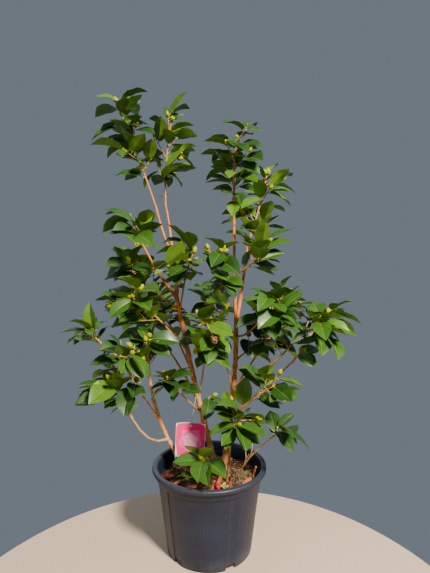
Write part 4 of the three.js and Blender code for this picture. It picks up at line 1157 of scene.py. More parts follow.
def make_shoots(settings):
    """The stems, twigs and twiglets of every mass."""
    _, masses = grown()
    bark = bpy.data.materials["camellia_bark"]
    lines = []
    for mass in masses:
        for shoot in mass.own + mass.twiglets:
            run = shoot.points[-1] - shoot.points[0]
            roots = [leaf.root - shoot.points[0] for leaf in mass.leaves if leaf.shoot is shoot]
            shares = [min(max(root @ run / (run @ run), 0), 1) for root in roots]
            parent = mass.stem.radius[0] if shoot is not mass.stem else 0
            lines.append(rod_line(shoot, BARK.twig_step, shares, parent))
    mesh = rods_mesh("shoot_bark", lines, settings.twig_sides, settings.relief * 0.6, bark)
    place_piece(mesh, MASS_NODES)


# Which shade a shoot's leaves take, by a roll up to each share, and how bright its under side is made:
# painted light shining through the leaf, more on bright and young sprays.
SPRAY_SHADES = (("deep", 0.4, 0.54), ("middle", 0.79, 0.8), ("bright", 0.98, 1.05), ("young", 1, 1.2))
# Single leaves that stand out of their sprays: shade, root on a shoot, tip, and the way each faces.
SINGLE_DROOP = 14
# Those in the young shade are lime partly as painted light shining through them.
SINGLE_LEAVES = (
    ("young", (-265, -75, 562), (-283, -78, 632), (-0.6, -1, -0.3)),
    ("young", (-170, -44, 799), (-132, -58, 845), (0, -1, 0.3)),
    ("bright", (79, -34, 369), (88, -62, 452), (-0.2, -1, 0.2)),
    ("bright", (61, -7, 876), (55, -55, 838), (0, -0.6, 0.9)),
    ("bright", (24, -46, 710), (37, -92, 674), (0, -0.6, 0.9)),
    ("young", (129, -34, 460), (140, -52, 418), (0.5, -1, 0.3)),
    ("young", (-60, -2, 541), (-56, -48, 528), (0, -0.4, 1)),
)


def make_leaves(settings):
    """Every leaf, in pieces by shade. All leaves of one shoot share a shade."""
    _, masses = grown()
    stalk = flushed("leaf_stalk", tinted(settings.stalk, 0.8), tinted(settings.stalk, 1.2), 5)
    tree = leaf_tree()
    sprays = {name: [] for name, _, _ in SPRAY_SHADES}
    for mass in masses:
        dice = Dice(mass.seed + 777)
        for shoot in mass.own + mass.twiglets:
            roll = dice.roll()
            name = next(name for name, share, _ in SPRAY_SHADES if roll < share)
            sprays[name] += [leaf for leaf in mass.leaves if leaf.shoot is shoot]
    for name, *places in SINGLE_LEAVES:
        root, tip, face = (np.array(place, float) for place in places)
        run = tip - root
        sprays[name].append(Leaf(None, root, unit(run), face, sqrt(run @ run), SINGLE_DROOP))
    for name, _, painted_glow in SPRAY_SHADES:
        upper = waxy_leaf("waxed_leaf_" + name, getattr(settings, name), settings.rib)
        # Under side of a leaf: olive and matt, made paler on bright and young sprays and darker on deep
        # ones, as painted light shining through the leaf.
        dim, lit = tinted(settings.under, 0.8 * painted_glow), tinted(settings.under, 1.2 * painted_glow)
        under = flushed("leaf_underside_" + name, dim, lit, 17, 0.6, 0.1)
        blank = new_object(leaf_blank((upper, under, stalk)))
        values = {"Blank": blank, "Half width": settings.width / 2, "Upper side": upper}
        mesh = run_tree("leaves_" + name, tree, leaf_roots("roots_" + name, sprays[name]), values)
        place_piece(mesh, MASS_NODES)
        bpy.data.objects.remove(blank)


def make_buds(settings):
    """Flower buds where the rule puts them, and flower buds or a leaf bud on every other end."""
    _, masses = grown()
    scale = flushed("bud_scales", settings.green, settings.pale, 4, 0.6, 0.2, shine=0.15)
    brown = flushed("leaf_bud_scales", settings.brown, settings.green, 2.5, 0.5)
    pile = Pile()
    for mass in masses:
        dice = Dice(mass.seed + 40)
        budded = {id(bud.shoot) for bud in mass.buds}
        flowers = [*mass.buds]
        for i, shoot in enumerate(mass.own + mass.twiglets):
            if id(shoot) in budded:
                continue
            if shoot in mass.own and dice.roll() < BUDS.budded:
                flowers += [Bud(shoot, k, 50 * i) for k in range(1 + int(dice.between(0.4, 2.6)))]
            else:
                point, heading = along(shoot.points, 1)
                pile.add(*bud_body(point - heading, heading, *BUDS.leaf_bud, 5, 5, 2), slot=1)
        for bud in flowers:
            size = dice.between(*BUDS.size)
            length, radius = RULE.bud_length * size, RULE.bud_radius * size
            pile.add(*bud_body(bud.root, bud.heading, length, radius), slot=0)
    mesh = pile.mesh("buds", scale, brown, sharp=50)
    place_piece(mesh, MASS_NODES)


# The share of side twigs that end in flower buds, the buds' size as a share of the rule's, and
# a leaf bud's length and radius.
BUDS = Sizes(budded=0.42, size=(1.2, 1.55), leaf_bud=(8, 1.9))
# The withered flower, and the bare twigs: a fork by the right stem and knees by the front shoot.
BLOOM = Sizes(place=(13, -128, 557), radius=14, petals=13)
BARE_TWIGS = (
    (((62, 18, 336), (56, 2, 388), (52, -7, 434)), (2.4, 1.7)),
    (((52, -7, 434), (43, -10, 464)), (1.7, 1.2)),
    (((52, -7, 434), (62, -12, 458), (74, -10, 490)), (1.7, 1.1)),
    (((86, -13, 214), (93, -16, 233), (90, -14, 256)), (1.5, 1)),
    (((93, -16, 233), (99, -20, 246)), (1.1, 0.8)),
    (((98, -26, 238), (105, -28, 254), (107, -25, 275)), (1.4, 0.9)),
)


def make_bloom(settings):
    """The one flower left on the plant: brown, shrunk and crumpled on a short stalk."""
    _, masses = grown()
    centre = np.array(BLOOM.place, float)
    shoots = [shoot for mass in masses for shoot in mass.own]
    spots = [along(shoot.points, share / 10) for shoot in shoots for share in range(3, 11)]
    point, _ = min(spots, key=lambda spot: ((spot[0] - centre) ** 2).sum())
    out = unit(centre - point)
    petals = flushed("withered_petals", settings.dark, settings.tan, 6, 0.8, 0.6, 0.0008, 0.6)
    pile = Pile()
    for i in range(BLOOM.petals):
        dice = Dice(500 + i)
        side = sideways(out, 137.5 * i)
        heading = unit(out * dice.between(0.1, 1) + side * dice.between(0.5, 1))
        face = unit(out - heading * (out @ heading) + side * 0.01)
        length = BLOOM.radius * dice.between(0.8, 1.25)
        pile.add(*petal_body(centre - out * 4, heading, face, length, length, -70, 900 + i))
    pile.add(*bud_body(centre - out * 9, out, 8, 4.5))
    stalk = Shoot("stalk", np.array((point, centre - out * 5)), (1.4, 1.6), joint=point)
    place_piece(pile.mesh("withered_bloom", petals, sharp=35))
    lines = [rod_line(stalk, 3)]
    for line, radius in BARE_TWIGS:
        points = np.array(line, float)
        lines.append(rod_line(Shoot("twig", points, radius, joint=points[0]), 4, (0.3, 0.6, 0.85)))
    bark = bpy.data.materials["camellia_bark"]
    place_piece(rods_mesh("bare_twigs", lines, 8, 0.2, bark))


WALL_RISE = (POT.wall_radius - POT.foot_radius) / (POT.height - POT.collar_drop)


def outer_radius(height):
    return POT.foot_radius + WALL_RISE * height


def inner_radius(height):
    return outer_radius(height) - POT.wall


def pot_outline(notched, channelled):
    """The pot's outline as radius and height, from its underside out round the rim to its floor.
    A column in a drain notch has the same points, drawn inward."""
    foot, deep, top = POT.foot_radius, POT.foot_radius - POT.notch_depth, POT.notch_height
    height, rim, inside = POT.height, POT.rim_radius, POT.rim_inside
    collar, under = POT.collar_radius, height - POT.collar_drop

    def wall(level):
        return outer_radius(level) - (channelled if level < POT.channel_top else 0)

    if notched:
        low = [(deep, 0), (deep, 7), (deep + 0.5, top - 1), (deep + 1.5, top), (foot - 4, top)]
    else:
        low = [(deep, 0), (foot - 5, 0), (foot - 2, 0), (foot - 0.5, 0.4), (outer_radius(1.6), 1.6)]
    low.append((wall(top), top))
    end, step = POT.channel_top, height - POT.rim_drop
    levels = (top + 1, 30, 55, 80, 105, 130, 155, end - 2, end - 0.3, end + 0.6, under - 0.6)
    side = [(wall(level), level) for level in levels]
    lip = [
        (collar - 2, under + 0.3), (collar - 0.6, under + 0.8), (collar, under + 2),
        (collar + 0.5, step - 1.6), (collar + 1.4, step - 0.4), (collar + 3, step),
        (rim - 2.4, step), (rim - 0.8, step + 0.8), (rim, step + 2.6),
        (rim, height - 4.4), (rim - 0.7, height - 2), (rim - 2.2, height - 0.6), (rim - 4.2, height),
        (inside + 4, height), (inside + 1.8, height - 0.5), (inside + 0.5, height - 1.8),
        (inside, height - 4),
    ]
    within = [(inner_radius(level), level) for level in (under, 160, 120, 80, 40, POT.floor + 4)]
    within += [(inner_radius(POT.floor) - 4, POT.floor), (60, POT.floor)]
    return [(60, 0), (deep - 3, 0), *low, *side, *lip, *within]


def make_pot(settings):
    """The pot as one closed body with its channels and drain notches. The first channel is a
    crisp step and the others fade out into the wall."""
    plain = settings.columns // POT.channels
    half = POT.channel_width / 2
    columns = []
    for i in range(POT.channels):
        centre = POT.first_channel + 360 * i / POT.channels
        for offset in (-half - 0.3, -half + 0.3, -half / 2, 0, half / 2, half - 0.3, half + 0.3):
            fading = cos(0.5 * pi * offset / half) if abs(offset) < half else 0
            dip = POT.channel_depth * (fading if i else 1 - 0.3 * (offset / half) ** 2)
            columns.append((centre, offset, 0, dip))
        columns += [(centre, half + 0.3, (k + 1) / plain, 0) for k in range(plain - 1)]
    outlines = []
    for centre, offset, share, dip in columns:
        cut = abs(offset) < half and share == 0
        outline = []
        for radius, height in pot_outline(cut, dip if cut else 0):
            arc = degrees(asin(min(max(offset / radius, -1), 1)))
            gap = 360 / POT.channels - 2 * arc
            angle = radians(centre - 90 + arc + gap * share)
            outline.append((radius * cos(angle), radius * sin(angle), height))
        outlines.append(outline)
    pile = Pile(ringed_body([*zip(*outlines)], ((0, 0, 0), (0, 0, POT.floor))))
    finish = moulded_pot("moulded_polypropylene", settings)
    place_piece(pile.mesh("nursery_pot", finish, sharp=32), ["pot"])


def soil_height(x, y):
    """The mix's surface: level round the stems, sinking to the wall, and uneven throughout."""
    radius = hypot(x, y)
    sunk = SOIL.sink * max(radius - SOIL.level_radius, 0) / 28
    rough = noise.noise(Vector((x, y, 0)) / 19) * 3 + noise.noise(Vector((x, y, 40)) / 7) * 1.5
    return SOIL.level - sunk - 0.6 + rough * min(1, radius / 30)


def make_soil(settings):
    """The potting mix as one closed body that fills the pot."""
    edge = inner_radius(SOIL.level - SOIL.sink) - GAP
    spots = [circle(72, edge * ((i + 1) / 34)) for i in range(34)]
    rings = [[(x, y, soil_height(x, y)) for x, y in ring] for ring in spots]
    for level in (140, 70, POT.floor + GAP):
        rings.append(circle(72, inner_radius(level) - GAP, height=(level,)))
    finish = damp_mix("composted_bark_mix", settings)
    mesh = Pile(ringed_body(rings)).mesh("potting_mix", finish, sharp=80)
    place_piece(mesh, ["soil"])


def litter_tree():
    """Scatters a blank over a surface, each turned and sized by its own roll, then roughened."""
    inputs = {
        "Surface": "Geometry", "Blank": "Object", "Density": "Float", "Seed": "Int",
        "Smallest": "Float", "Largest": "Float", "Tilt": "Float", "Finish": "Material",
    }
    return new_tree("Scattered litter", inputs, (
        ("spots", "GeometryNodeDistributePointsOnFaces",
            {"Mesh": "given.Surface", "Density": "given.Density", "Seed": "given.Seed"}),
        ("blank", "GeometryNodeObjectInfo", {"Object": "given.Blank"}),
        ("low", MATH, ("given.Tilt", -1.0), "MULTIPLY"),
        ("least", "ShaderNodeCombineXYZ", {0: "low.0", 1: "low.0"}),
        ("most", "ShaderNodeCombineXYZ", {0: "given.Tilt", 1: "given.Tilt", 2: 6.28}),
        ("turn", "FunctionNodeRandomValue", {0: "least.0", 1: "most.0", "Seed": "given.Seed"}, ARROW),
        ("size", "FunctionNodeRandomValue", {2: "given.Smallest", 3: "given.Largest", "Seed": 7}, NUMBER),
        ("laid", "GeometryNodeInstanceOnPoints", {
            "Points": "spots.Points", "Instance": "blank.Geometry", "Rotation": "turn.0", "Scale": "size.1",
        }),
        ("solid", REALIZE, ("laid.0",)),
        ("rough", NOISE, {"Scale": 130.0, "Detail": 2}),
        ("even", VECTOR, ("rough.Color", (0.5, 0.5, 0.5)), "SUBTRACT"),
        ("push", VECTOR, ("even.0", (0.009, 0.009, 0.009)), "MULTIPLY"),
        ("broken", MOVE, {"Geometry": "solid.0", "Offset": "push.0"}),
        ("done", DRESS, {"Geometry": "broken.0", "Material": "given.Finish"}),
    ))


def chip_blank(name, length, width, thickness):
    """The mesh of a broken flake of bark, about its middle, with one pointed end."""
    rings = []
    for share, wide in ((-0.5, 0.45), (-0.3, 0.95), (0.1, 1), (0.38, 0.7), (0.5, 0.2)):
        half, thin = 0.5 * width * wide, 0.5 * thickness * (0.6 + 0.4 * wide)
        lean = 0.2 * thickness * share
        section = ((-half, -thin), (half * 0.9, -thin), (half, thin * 0.7), (-half * 0.8, thin))
        rings.append([(share * length, y, z + lean) for y, z in section])
    return Pile(ringed_body(rings)).mesh(name, sharp=30)


# Litter: a flake's length, width and thickness, how many to a square metre, the range of its
# size, its tilt in radians, and its two shades.
LITTER = table("name size density seed scale tilt shades", (
    ("bark_chips_brown", (15, 7.5, 2.8), 6500, 3, (0.55, 1.35), 0.5, ("brown", "dark")),
    ("bark_chips_tan", (14, 6.5, 2.4), 3000, 11, (0.45, 1.4), 0.55, ("tan", "brown")),
    ("bark_crumbs_dark", (6, 3.6, 2.4), 20000, 5, (0.5, 1.4), 1.2, ("dark", "brown")),
    ("bark_crumbs_tan", (5, 2.8, 1.8), 9000, 8, (0.4, 1.3), 1.2, ("tan", "brown")),
))
# Crumbs held in the moss, far closer together than on the open mix.
MOSS_LITTER = table("name size density seed scale tilt shades", (
    ("moss_crumbs_dark", (3.4, 2.2, 1.8), 150000, 21, (0.5, 1.5), 1.4, ("dark", "moss_shade")),
    ("moss_crumbs_pale", (3, 1.8, 1.5), 110000, 27, (0.4, 1.4), 1.4, ("moss", "moss_shade")),
))
# Single chips: where, how long, wide and thick, how far turned, and how far one end is tipped up.
BIG_CHIPS = table("at size turn tip", (
    ((-104, -16), (40, 21, 4), -38, 16),
    ((-44, -66), (32, 14, 4), -14, 12),
    ((92, -46), (32, 15, 3.6), 40, 24),
    ((-14, 4), (34, 9, 4.5), 64, 16),
    ((26, -40), (44, 8, 3.6), 66, 26),
    ((-72, 34), (27, 15, 4), 25, 8),
    ((2, -88), (26, 8, 3.4), 82, 20),
    ((-80, -52), (26, 11, 3.6), 30, 14),
    ((56, -78), (28, 12, 3.6), -30, 16),
    ((-92, 46), (26, 12, 4), 110, 12),
    ((48, 74), (30, 14, 4), 10, 12),
    ((-12, 88), (28, 12, 4), 150, 14),
))
STICK = Sizes(line=((106, -25, 182), (109, -42, 208), (113, -58, 232)), radius=(2.6, 1.9))
MOSS = Sizes(at=(76, -21), half=(30, 24), rise=21)
PETAL = Sizes(at=(22, -71), back=7, rise=4, length=15, radius=8.2, heading=(1, -0.2, 0.25))
SPRIGS = ((-66, -18, 17), (-52, -28, 14), (31, -68, 13), (-58, -36, 11))


def scatter(row, surface, settings):
    """One kind of litter over a surface, as one piece."""
    name = row.name
    low, high = (getattr(settings, shade) for shade in row.shades)
    blank = new_object(chip_blank(name + "_blank", *row.size))
    finish = flushed("broken_" + name, low, high, 5, 0.85, 0.6, 0.001, 0.8)
    smallest, largest = row.scale
    values = {
        "Blank": blank, "Density": float(row.density), "Seed": row.seed, "Smallest": smallest,
        "Largest": largest, "Tilt": row.tilt, "Finish": finish,
    }
    mesh = run_tree(name, litter_tree(), surface.copy(), values)
    bpy.data.objects.remove(blank)
    place_piece(mesh)


def make_litter(settings):
    """Bark chips and crumbs over the mix, then what lies there singly."""
    pile = Pile()
    spots = [(0, 0), *circle(40, 38), *circle(40, 76), *circle(40, 113)]
    faces = [(0, 1 + k, 1 + (k + 1) % 40) for k in range(40)]
    faces += [tuple(i + 1 for i in face) for face in grid_faces(3, 40)]
    pile.add([(x, y, soil_height(x, y)) for x, y in spots], faces)
    surface = pile.mesh("litter_surface")
    for row in LITTER:
        scatter(row, surface, settings)
    pile = Pile()
    for i, row in enumerate(BIG_CHIPS):
        length, _, thickness = row.size
        x, y = row.at
        flake = chip_blank("big_chip", *row.size)
        tip = radians(row.tip)
        turn = Matrix.Rotation(radians(row.turn), 3, "Z") @ Matrix.Rotation(-tip, 3, "Y")
        rise = Vector((x, y, soil_height(x, y) + 0.5 * thickness + 0.3 * length * sin(tip)))
        corners = [turn @ (v.co / MM) + rise for v in flake.vertices]
        pile.add(corners, [tuple(face.vertices) for face in flake.polygons], i % 2)
    fresh, tan = settings.orange, settings.tan
    orange = flushed("fresh_bark_flake", fresh, tinted(fresh, 0.7), 7, 0.8, 0.5, 0.001, 1.2)
    pale = flushed("weathered_bark_flake", tan, settings.brown, 6, 0.85, 0.5, 0.001, 1.2)
    place_piece(pile.mesh("big_bark_chips", orange, pale, sharp=30))
    moss = moss_mesh(settings)
    for row in MOSS_LITTER:
        scatter(row, moss, settings)
    place_piece(moss)
    line = np.array(STICK.line, float)
    stick = rod_line(Shoot("stick", line, STICK.radius, joint=line[0]), 3, (0.3, 0.7))
    wood = flushed("weathered_wood", tan, fresh, 3, 0.8, 0.5, 0.0006, 1)
    place_piece(rods_mesh("stick", [stick], 9, 0.35, wood))
    make_sprigs(settings)


def moss_mesh(settings):
    """A low cushion of moss over a lump of mix."""
    x, y = MOSS.at
    wide, deep = MOSS.half
    rings = []
    for i in range(1, 15):
        share = i / 14
        ring = []
        for k, (ahead, aside) in enumerate(circle(48)):
            angle = pi * k / 24
            edge = 1 + 0.16 * sin(3 * angle + 1) + 0.08 * sin(7 * angle)
            px, py = x + wide * share * edge * ahead, y + deep * share * edge * aside
            lump = noise.noise(Vector((px, py, 3)) / 7) * 6.5
            lump += noise.noise(Vector((px, py, 9)) / 2.6) * 3.4
            rise = MOSS.rise * sqrt(1 - share ** 2.4) + lump * (1 - share ** 3)
            ring.append((px, py, soil_height(px, py) - 2 + rise))
        rings.append(ring)
    rings.append([(px, py, pz - 5) for px, py, pz in rings[-1]])
    finish = flushed("dry_moss", settings.moss, settings.moss_shade, 3.4, 1, 1, 0.002, 1.6)
    return Pile(ringed_body(rings)).mesh("moss_clump", finish, sharp=70)


def make_sprigs(settings):
    """The fallen petal, and seedlings of three round leaves each."""
    x, y = PETAL.at
    root = np.array((x - PETAL.back, y, soil_height(x, y) + PETAL.rise))
    ball = bud_body(root, unit(np.array(PETAL.heading)), PETAL.length, PETAL.radius, 12, 14, 1.6)
    red = settings.petal
    petal = flushed("fallen_petal", red, tinted(red, 0.6), 5, 0.5, 0.3, shine=0.25)
    place_piece(Pile(ball).mesh("fallen_petal", petal, sharp=60))
    sprigs, up = Pile(), np.array((0, 0, 1.0))
    for i, (x, y, length) in enumerate(SPRIGS):
        root = np.array((x, y, soil_height(x, y) + 3))
        for k in range(3):
            heading = unit(sideways(up, 77 * i + 125 * k) + up * 0.35)
            face = unit(up - heading * (up @ heading))
            sprigs.add(*petal_body(root, heading, face, length, 0.55 * length, 30, 40 + 3 * i + k))
    green = flushed("seedling_leaf", settings.sprig, tinted(settings.sprig, 0.7), 6, 0.4, 0.2)
    place_piece(sprigs.mesh("seedlings", green, sharp=60))


def label_plate(pile, outline, back, front, slot):
    """A flat plate from its outline across and down the label, between two depths."""
    count = len(outline)
    corners = [(x, back, z) for x, z in outline] + [(x, front, z) for x, z in outline]
    ends = tuple(range(count)), tuple(range(2 * count - 1, count - 1, -1))
    pile.add(corners, [*ends, *grid_faces(2, count)], slot)


def rounded_top(half, top, cut, steps):
    """The upper edge of a card from right to left, with its corners rounded by a cut."""
    bends = [radians(90 * k / steps) for k in range(steps + 1)]
    quarter = [(half - cut + cut * cos(a), top - cut + cut * sin(a)) for a in bends]
    return quarter + [(-x, z) for x, z in reversed(quarter)]


def petal_outline(centre, radius, turn):
    """One rounded petal of a plain blossom, as an outline."""
    points = []
    for k in range(15):
        t = k / 14
        swell = 0.5 + 0.5 * sin(pi * min(t + 0.1, 1))
        wide = 0.46 * radius * sin(pi * t) ** 0.6 * swell
        points.append((radius * (0.12 + 0.88 * t), wide))
    points += [(far, -wide) for far, wide in points[-2:0:-1]]
    angle = radians(turn)
    cosine, sine = cos(angle), sin(angle)
    x, z = centre
    return [(x + far * cosine - w * sine, z + far * sine + w * cosine) for far, w in points]


def make_label(settings):
    """The care label: a thin card with a plain five-petal blossom, in place of a printed
    picture, on a pink panel over a teal strip."""
    half, height, front = TAG.width / 2, TAG.height, -TAG.thickness
    outline = rounded_top(half, 0, TAG.corner, 8) + [(-half, -height), (half, -height)]
    pile = Pile()
    ring = circle(24, TAG.hole / 2, (0, -TAG.hole_drop), start=pi / 24)
    card_with_hole(pile, outline, ring, 0, front, 0)
    upper = rounded_top(half - 0.8, -0.8, 11, 6)
    panel = upper + [(x, -0.8 - 86 - z) for x, z in reversed(upper)]
    hem = [(1.2 * x, 1.2 * (z + TAG.hole_drop) - TAG.hole_drop) for x, z in ring]
    card_with_hole(pile, panel, hem, front + 0.05, front - 0.12, 1)
    centre = (0, -46)
    for reach, turn, slot in ((34, 126, 2), (22, 90, 3)):
        for k in range(5):
            front -= 0.03
            label_plate(pile, petal_outline(centre, reach, turn + 72 * k), front - 0.1, front - 0.24, slot)
    label_plate(pile, circle(24, 4.6, centre, start=pi / 24), front - 0.2, front - 0.4, 4)
    front = -TAG.thickness
    side, foot = half - 0.8, -height + 0.8
    strip = [(side, -89), (-side, -89), (-side, foot), (side, foot)]
    label_plate(pile, strip, front + 0.05, front - 0.12, 5)
    turn = Matrix.Rotation(radians(TAG.turn), 3, "Y")
    rise = Vector(TAG.top)
    pile.corners = [np.array([turn @ Vector(corner) + rise for corner in part]) for part in pile.corners]
    inks = ("card", "panel", "rose", "blush", "heart", "strip")
    finishes = [printed_card("label_" + ink, getattr(settings, ink)) for ink in inks]
    place_piece(pile.mesh("care_label", *finishes, sharp=30), ["care_tag"])


def card_with_hole(pile, outline, hole, back, front, slot):
    """A card between its outline and its eye: a strip on each face and a wall along each edge."""
    count, centre = len(hole), np.mean(hole, 0)
    outer = [ray_to_outline(centre, unit(spot - centre), outline) for spot in hole]
    edges = (hole, back), (outer, back), (outer, front), (hole, front)
    rows = [[(x, depth, z) for x, z in edge] for edge, depth in edges]
    faces = [tuple(i % (4 * count) for i in face) for face in grid_faces(5, count)]
    pile.add(np.concatenate(rows), faces, slot)


def ray_to_outline(start, way, outline):
    """Where a ray from inside an outline leaves it."""
    reach = inf
    for near, far in zip(outline, outline[1:] + outline[:1]):
        edge, off = np.subtract(far, near), near - start
        spread = way[0] * edge[1] - way[1] * edge[0]
        if abs(spread) > 1e-9:
            here = (off[0] * edge[1] - off[1] * edge[0]) / spread
            share = (off[0] * way[1] - off[1] * way[0]) / spread
            if here > 0 and -1e-6 <= share <= 1 + 1e-6:
                reach = min(reach, here)
    return tuple(start + way * reach)


def make_tie(settings):
    """The thin loop that holds the label: round the left stem, down through the eye and up."""
    limbs, _ = grown()
    stem = limbs["left_stem"]
    low, high = stem.points[0][2], stem.points[-1][2]
    share = (TIE.ring_height - low) / (high - low)
    point, heading = along(stem.points, share)
    thick = TIE.thickness / 2
    reach = stem.thickness(share) + TIE.ring_clear + thick
    across = sideways(heading, 0)
    over = cross(across, heading)
    ring = []
    for k, (x, y) in enumerate(circle(32) + circle(1)):
        ring.append(point + (across * x + over * y) * reach + heading * (0.03 * k))
    knot = point + unit(np.array((-1.0, -1, 0))) * reach
    x, y, top = TAG.top
    eye = np.array((x, y, top - TAG.hole_drop), float)
    halves = []
    for side in (-TIE.side, TIE.side):
        off = np.array((0, side, 0))
        halves.append([(knot + eye + off) / 2, eye + off + (0, 0, 2), eye + off * 0.45 - (0, 0, 0.4)])
    strand = [knot, *halves[0], *reversed(halves[1]), knot + (0, thick, thick)]
    finish = flushed("twisted_fibre_tie", settings.tie, tinted(settings.tie, 0.75), 1.2, 0.7, 0.5, 0.0003)
    threads = np.array(ring), eased(np.array(strand), 2, 5)
    lines = [(line, np.full(len(line), thick)) for line in threads]
    ball = eased(np.array((knot - heading * 2, knot, knot + heading * 2)), 1)
    lines.append((ball, thick * (0.6 + 1.3 * np.sin(np.linspace(0, pi, len(ball))))))
    place_piece(rods_mesh("label_tie", lines, 8, 0.05, finish), ["tag_tie"])


# The camera stands where the photograph was taken from, in metres and degrees. The lens is in
# millimetres for a frame 36 mm high.
CAMERA = Sizes(place=(0.0143, -1.092, 0.727), pitch=3.3, lens=27.64, frame=36)
LIGHTS = table("name place size watts warmth", (
    ("key", (1.35, -2.1, 2.6), 0.5, 330, "#fff3e4"),
    ("fill", (-2.2, -1.7, 1.2), 2.4, 24, "#e9f0ff"),
    ("back", (-1.2, 2.0, 1.9), 2.6, 18, "#ffffff"),
))
# The round floor's middle lies before the pot, so that it ends close behind it.
FLOOR_MIDDLE = -0.3


def make_stage(settings):
    """A round pale floor, soft lights, a plain grey surround and the camera."""
    reach = settings.reach
    edge = (reach, -0.03), (reach, -0.002), (reach - 0.002, 0)
    rings = [circle(128, radius, (0, FLOOR_MIDDLE), (height,)) for radius, height in edge]
    floor = flushed("pale_floor", settings.floor, tinted(settings.floor, 0.9), 4, 0.9, 0.1)
    new_object(Pile(ringed_body(rings)).mesh("floor", floor, scale=1, sharp=30))
    world = bpy.data.worlds.new("plain_surround")
    world.use_nodes = True
    surround = world.node_tree.nodes["Background"].inputs
    surround["Color"].default_value = settings.surround
    surround["Strength"].default_value = settings.glow
    bpy.context.scene.world = world
    middle = Vector((0, 0, 0.55))
    for row in LIGHTS:
        lamp = bpy.data.lights.new(row.name, "AREA")
        lamp.size, lamp.energy = row.size, row.watts
        lamp.color = linear(row.warmth)[:3]
        stand = new_object(lamp)
        stand.location = row.place
        stand.rotation_euler = (middle - stand.location).to_track_quat("-Z", "Y").to_euler()
    lens = bpy.data.cameras.new("camera")
    lens.sensor_width, lens.lens = CAMERA.frame, CAMERA.lens
    camera = new_object(lens)
    camera.location = CAMERA.place
    camera.rotation_euler = (radians(90 - CAMERA.pitch), 0, 0)
    bpy.context.scene.camera = camera


def tint(name, code, note):
    """A colour that a user may change, set as sRGB hex."""
    return FloatVectorProperty(
        name=name, description=note, default=linear(code), size=4, min=0, max=1, subtype="COLOR"
    )


class CamelliaBark(PropertyGroup):
    """Bark on trunks, boughs and twigs."""

    sides: IntProperty(name="Sides", description="Faces round a bough", default=18, min=6)
    twig_sides: IntProperty(name="Twig sides", description="Faces round a twig", default=10, min=5)
    relief: FloatProperty(
        name="Relief", description="Height of the bark's relief as a share of its bough", default=0.42,
        subtype="FACTOR",
    )
    young: tint("Young", "#a08a3c", "Green-brown skin of this year's twigs")
    cinnamon: tint("Cinnamon", "#d2792e", "Smooth bark of the boughs")
    old: tint("Old", "#d9be84", "Grey-beige patches of old bark")
    crease: tint("Crease", "#80522a", "Dark streaks along the grain")
    fleck: tint("Fleck", "#dfcd98", "Pale flecks where the skin has flaked")


class CamelliaLeaves(PropertyGroup):
    """Shape and shades of the leaves."""

    width: FloatProperty(
        name="Width", description="A leaf's width as a share of its length", default=0.55,
        subtype="FACTOR",
    )
    deep: tint("Deep", "#22450f", "Shade of an old leaf")
    middle: tint("Middle", "#31570f", "Shade of a grown leaf")
    bright: tint("Bright", "#476d10", "Shade of a leaf of this year")
    # Young leaves are lime of their own, made brighter still as painted light shining through backlit
    # leaves.
    young: tint("Young", "#5a8004", "Shade of a leaf that has just opened")
    # The under side's olive is made lighter than its own colour, as painted light shining through the leaf.
    under: tint("Underside", "#70981c", "Olive under side")
    rib: tint("Midrib", "#7f9a38", "Pale midrib")
    stalk: tint("Stalk", "#b4b03e", "Yellow-green stalk")


class CamelliaBuds(PropertyGroup):
    """Colours of the buds."""

    green: tint("Green", "#7f9200", "Scales of a flower bud")
    pale: tint("Pale", "#a9a800", "Edges of the scales")
    brown: tint("Brown", "#8f8a34", "Scales of a leaf bud")


class CamelliaBloom(PropertyGroup):
    """Colours of the withered flower."""

    dark: tint("Dark", "#6e4224", "Dried inner petals")
    tan: tint("Tan", "#bc8462", "Dried outer petals")


class CamelliaPot(PropertyGroup):
    """The nursery pot's plastic."""

    columns: IntProperty(name="Columns", description="Faces round the pot's wall", default=150, min=40)
    plastic: tint("Plastic", "#101a2b", "Black plastic")
    worn: tint("Worn", "#18253c", "Plastic gone grey in the sun")
    scuff: tint("Scuff", "#4c566b", "Scratches and rubbed places")
    # Dried soil on the foot; the same colour is the painted highlight along the top of the rim.
    dust: tint("Dust", "#66696d", "Dried soil")


class CamelliaSoil(PropertyGroup):
    """The potting mix and what lies on it."""

    gaps: tint("Gaps", "#21160e", "Shade between the chips")
    fines: tint("Fines", "#55391f", "Composted fines")
    dark: tint("Dark bark", "#4b311d", "Dark side of a chip")
    brown: tint("Brown bark", "#80522f", "Brown chips")
    tan: tint("Tan bark", "#c39763", "Sun-bleached chips")
    orange: tint("Orange bark", "#c8743a", "Freshly broken chips")
    moss: tint("Moss", "#98815a", "Dry moss")
    moss_shade: tint("Moss shade", "#463621", "Hollows in the moss")
    petal: tint("Petal", "#b80e34", "Fallen petal")
    sprig: tint("Seedling", "#8fc41e", "Seedling leaves")


class CamelliaLabel(PropertyGroup):
    """Colours of the care label and its tie."""

    card: tint("Card", "#dfe6e6", "Pale card")
    panel: tint("Panel", "#ff1c74", "Pink panel")
    rose: tint("Rose", "#ff5c9c", "Outer petals")
    blush: tint("Blush", "#ff9cc4", "Inner petals")
    heart: tint("Heart", "#f0d27a", "Middle of the blossom")
    strip: tint("Strip", "#2c7a80", "Teal strip")
    tie: tint("Tie", "#c3b8a4", "Fibre of the loop")


class CamelliaStage(PropertyGroup):
    """The floor and the surround."""

    reach: FloatProperty(
        name="Reach", description="The round floor's radius", default=0.573, min=0.2,
        subtype="DISTANCE", unit="LENGTH",
    )
    glow: FloatProperty(name="Glow", description="Strength of the surround's light", default=1.0, min=0)
    floor: tint("Floor", "#cbb69d", "Pale floor")
    surround: tint("Surround", "#6e7781", "Plain grey surround")


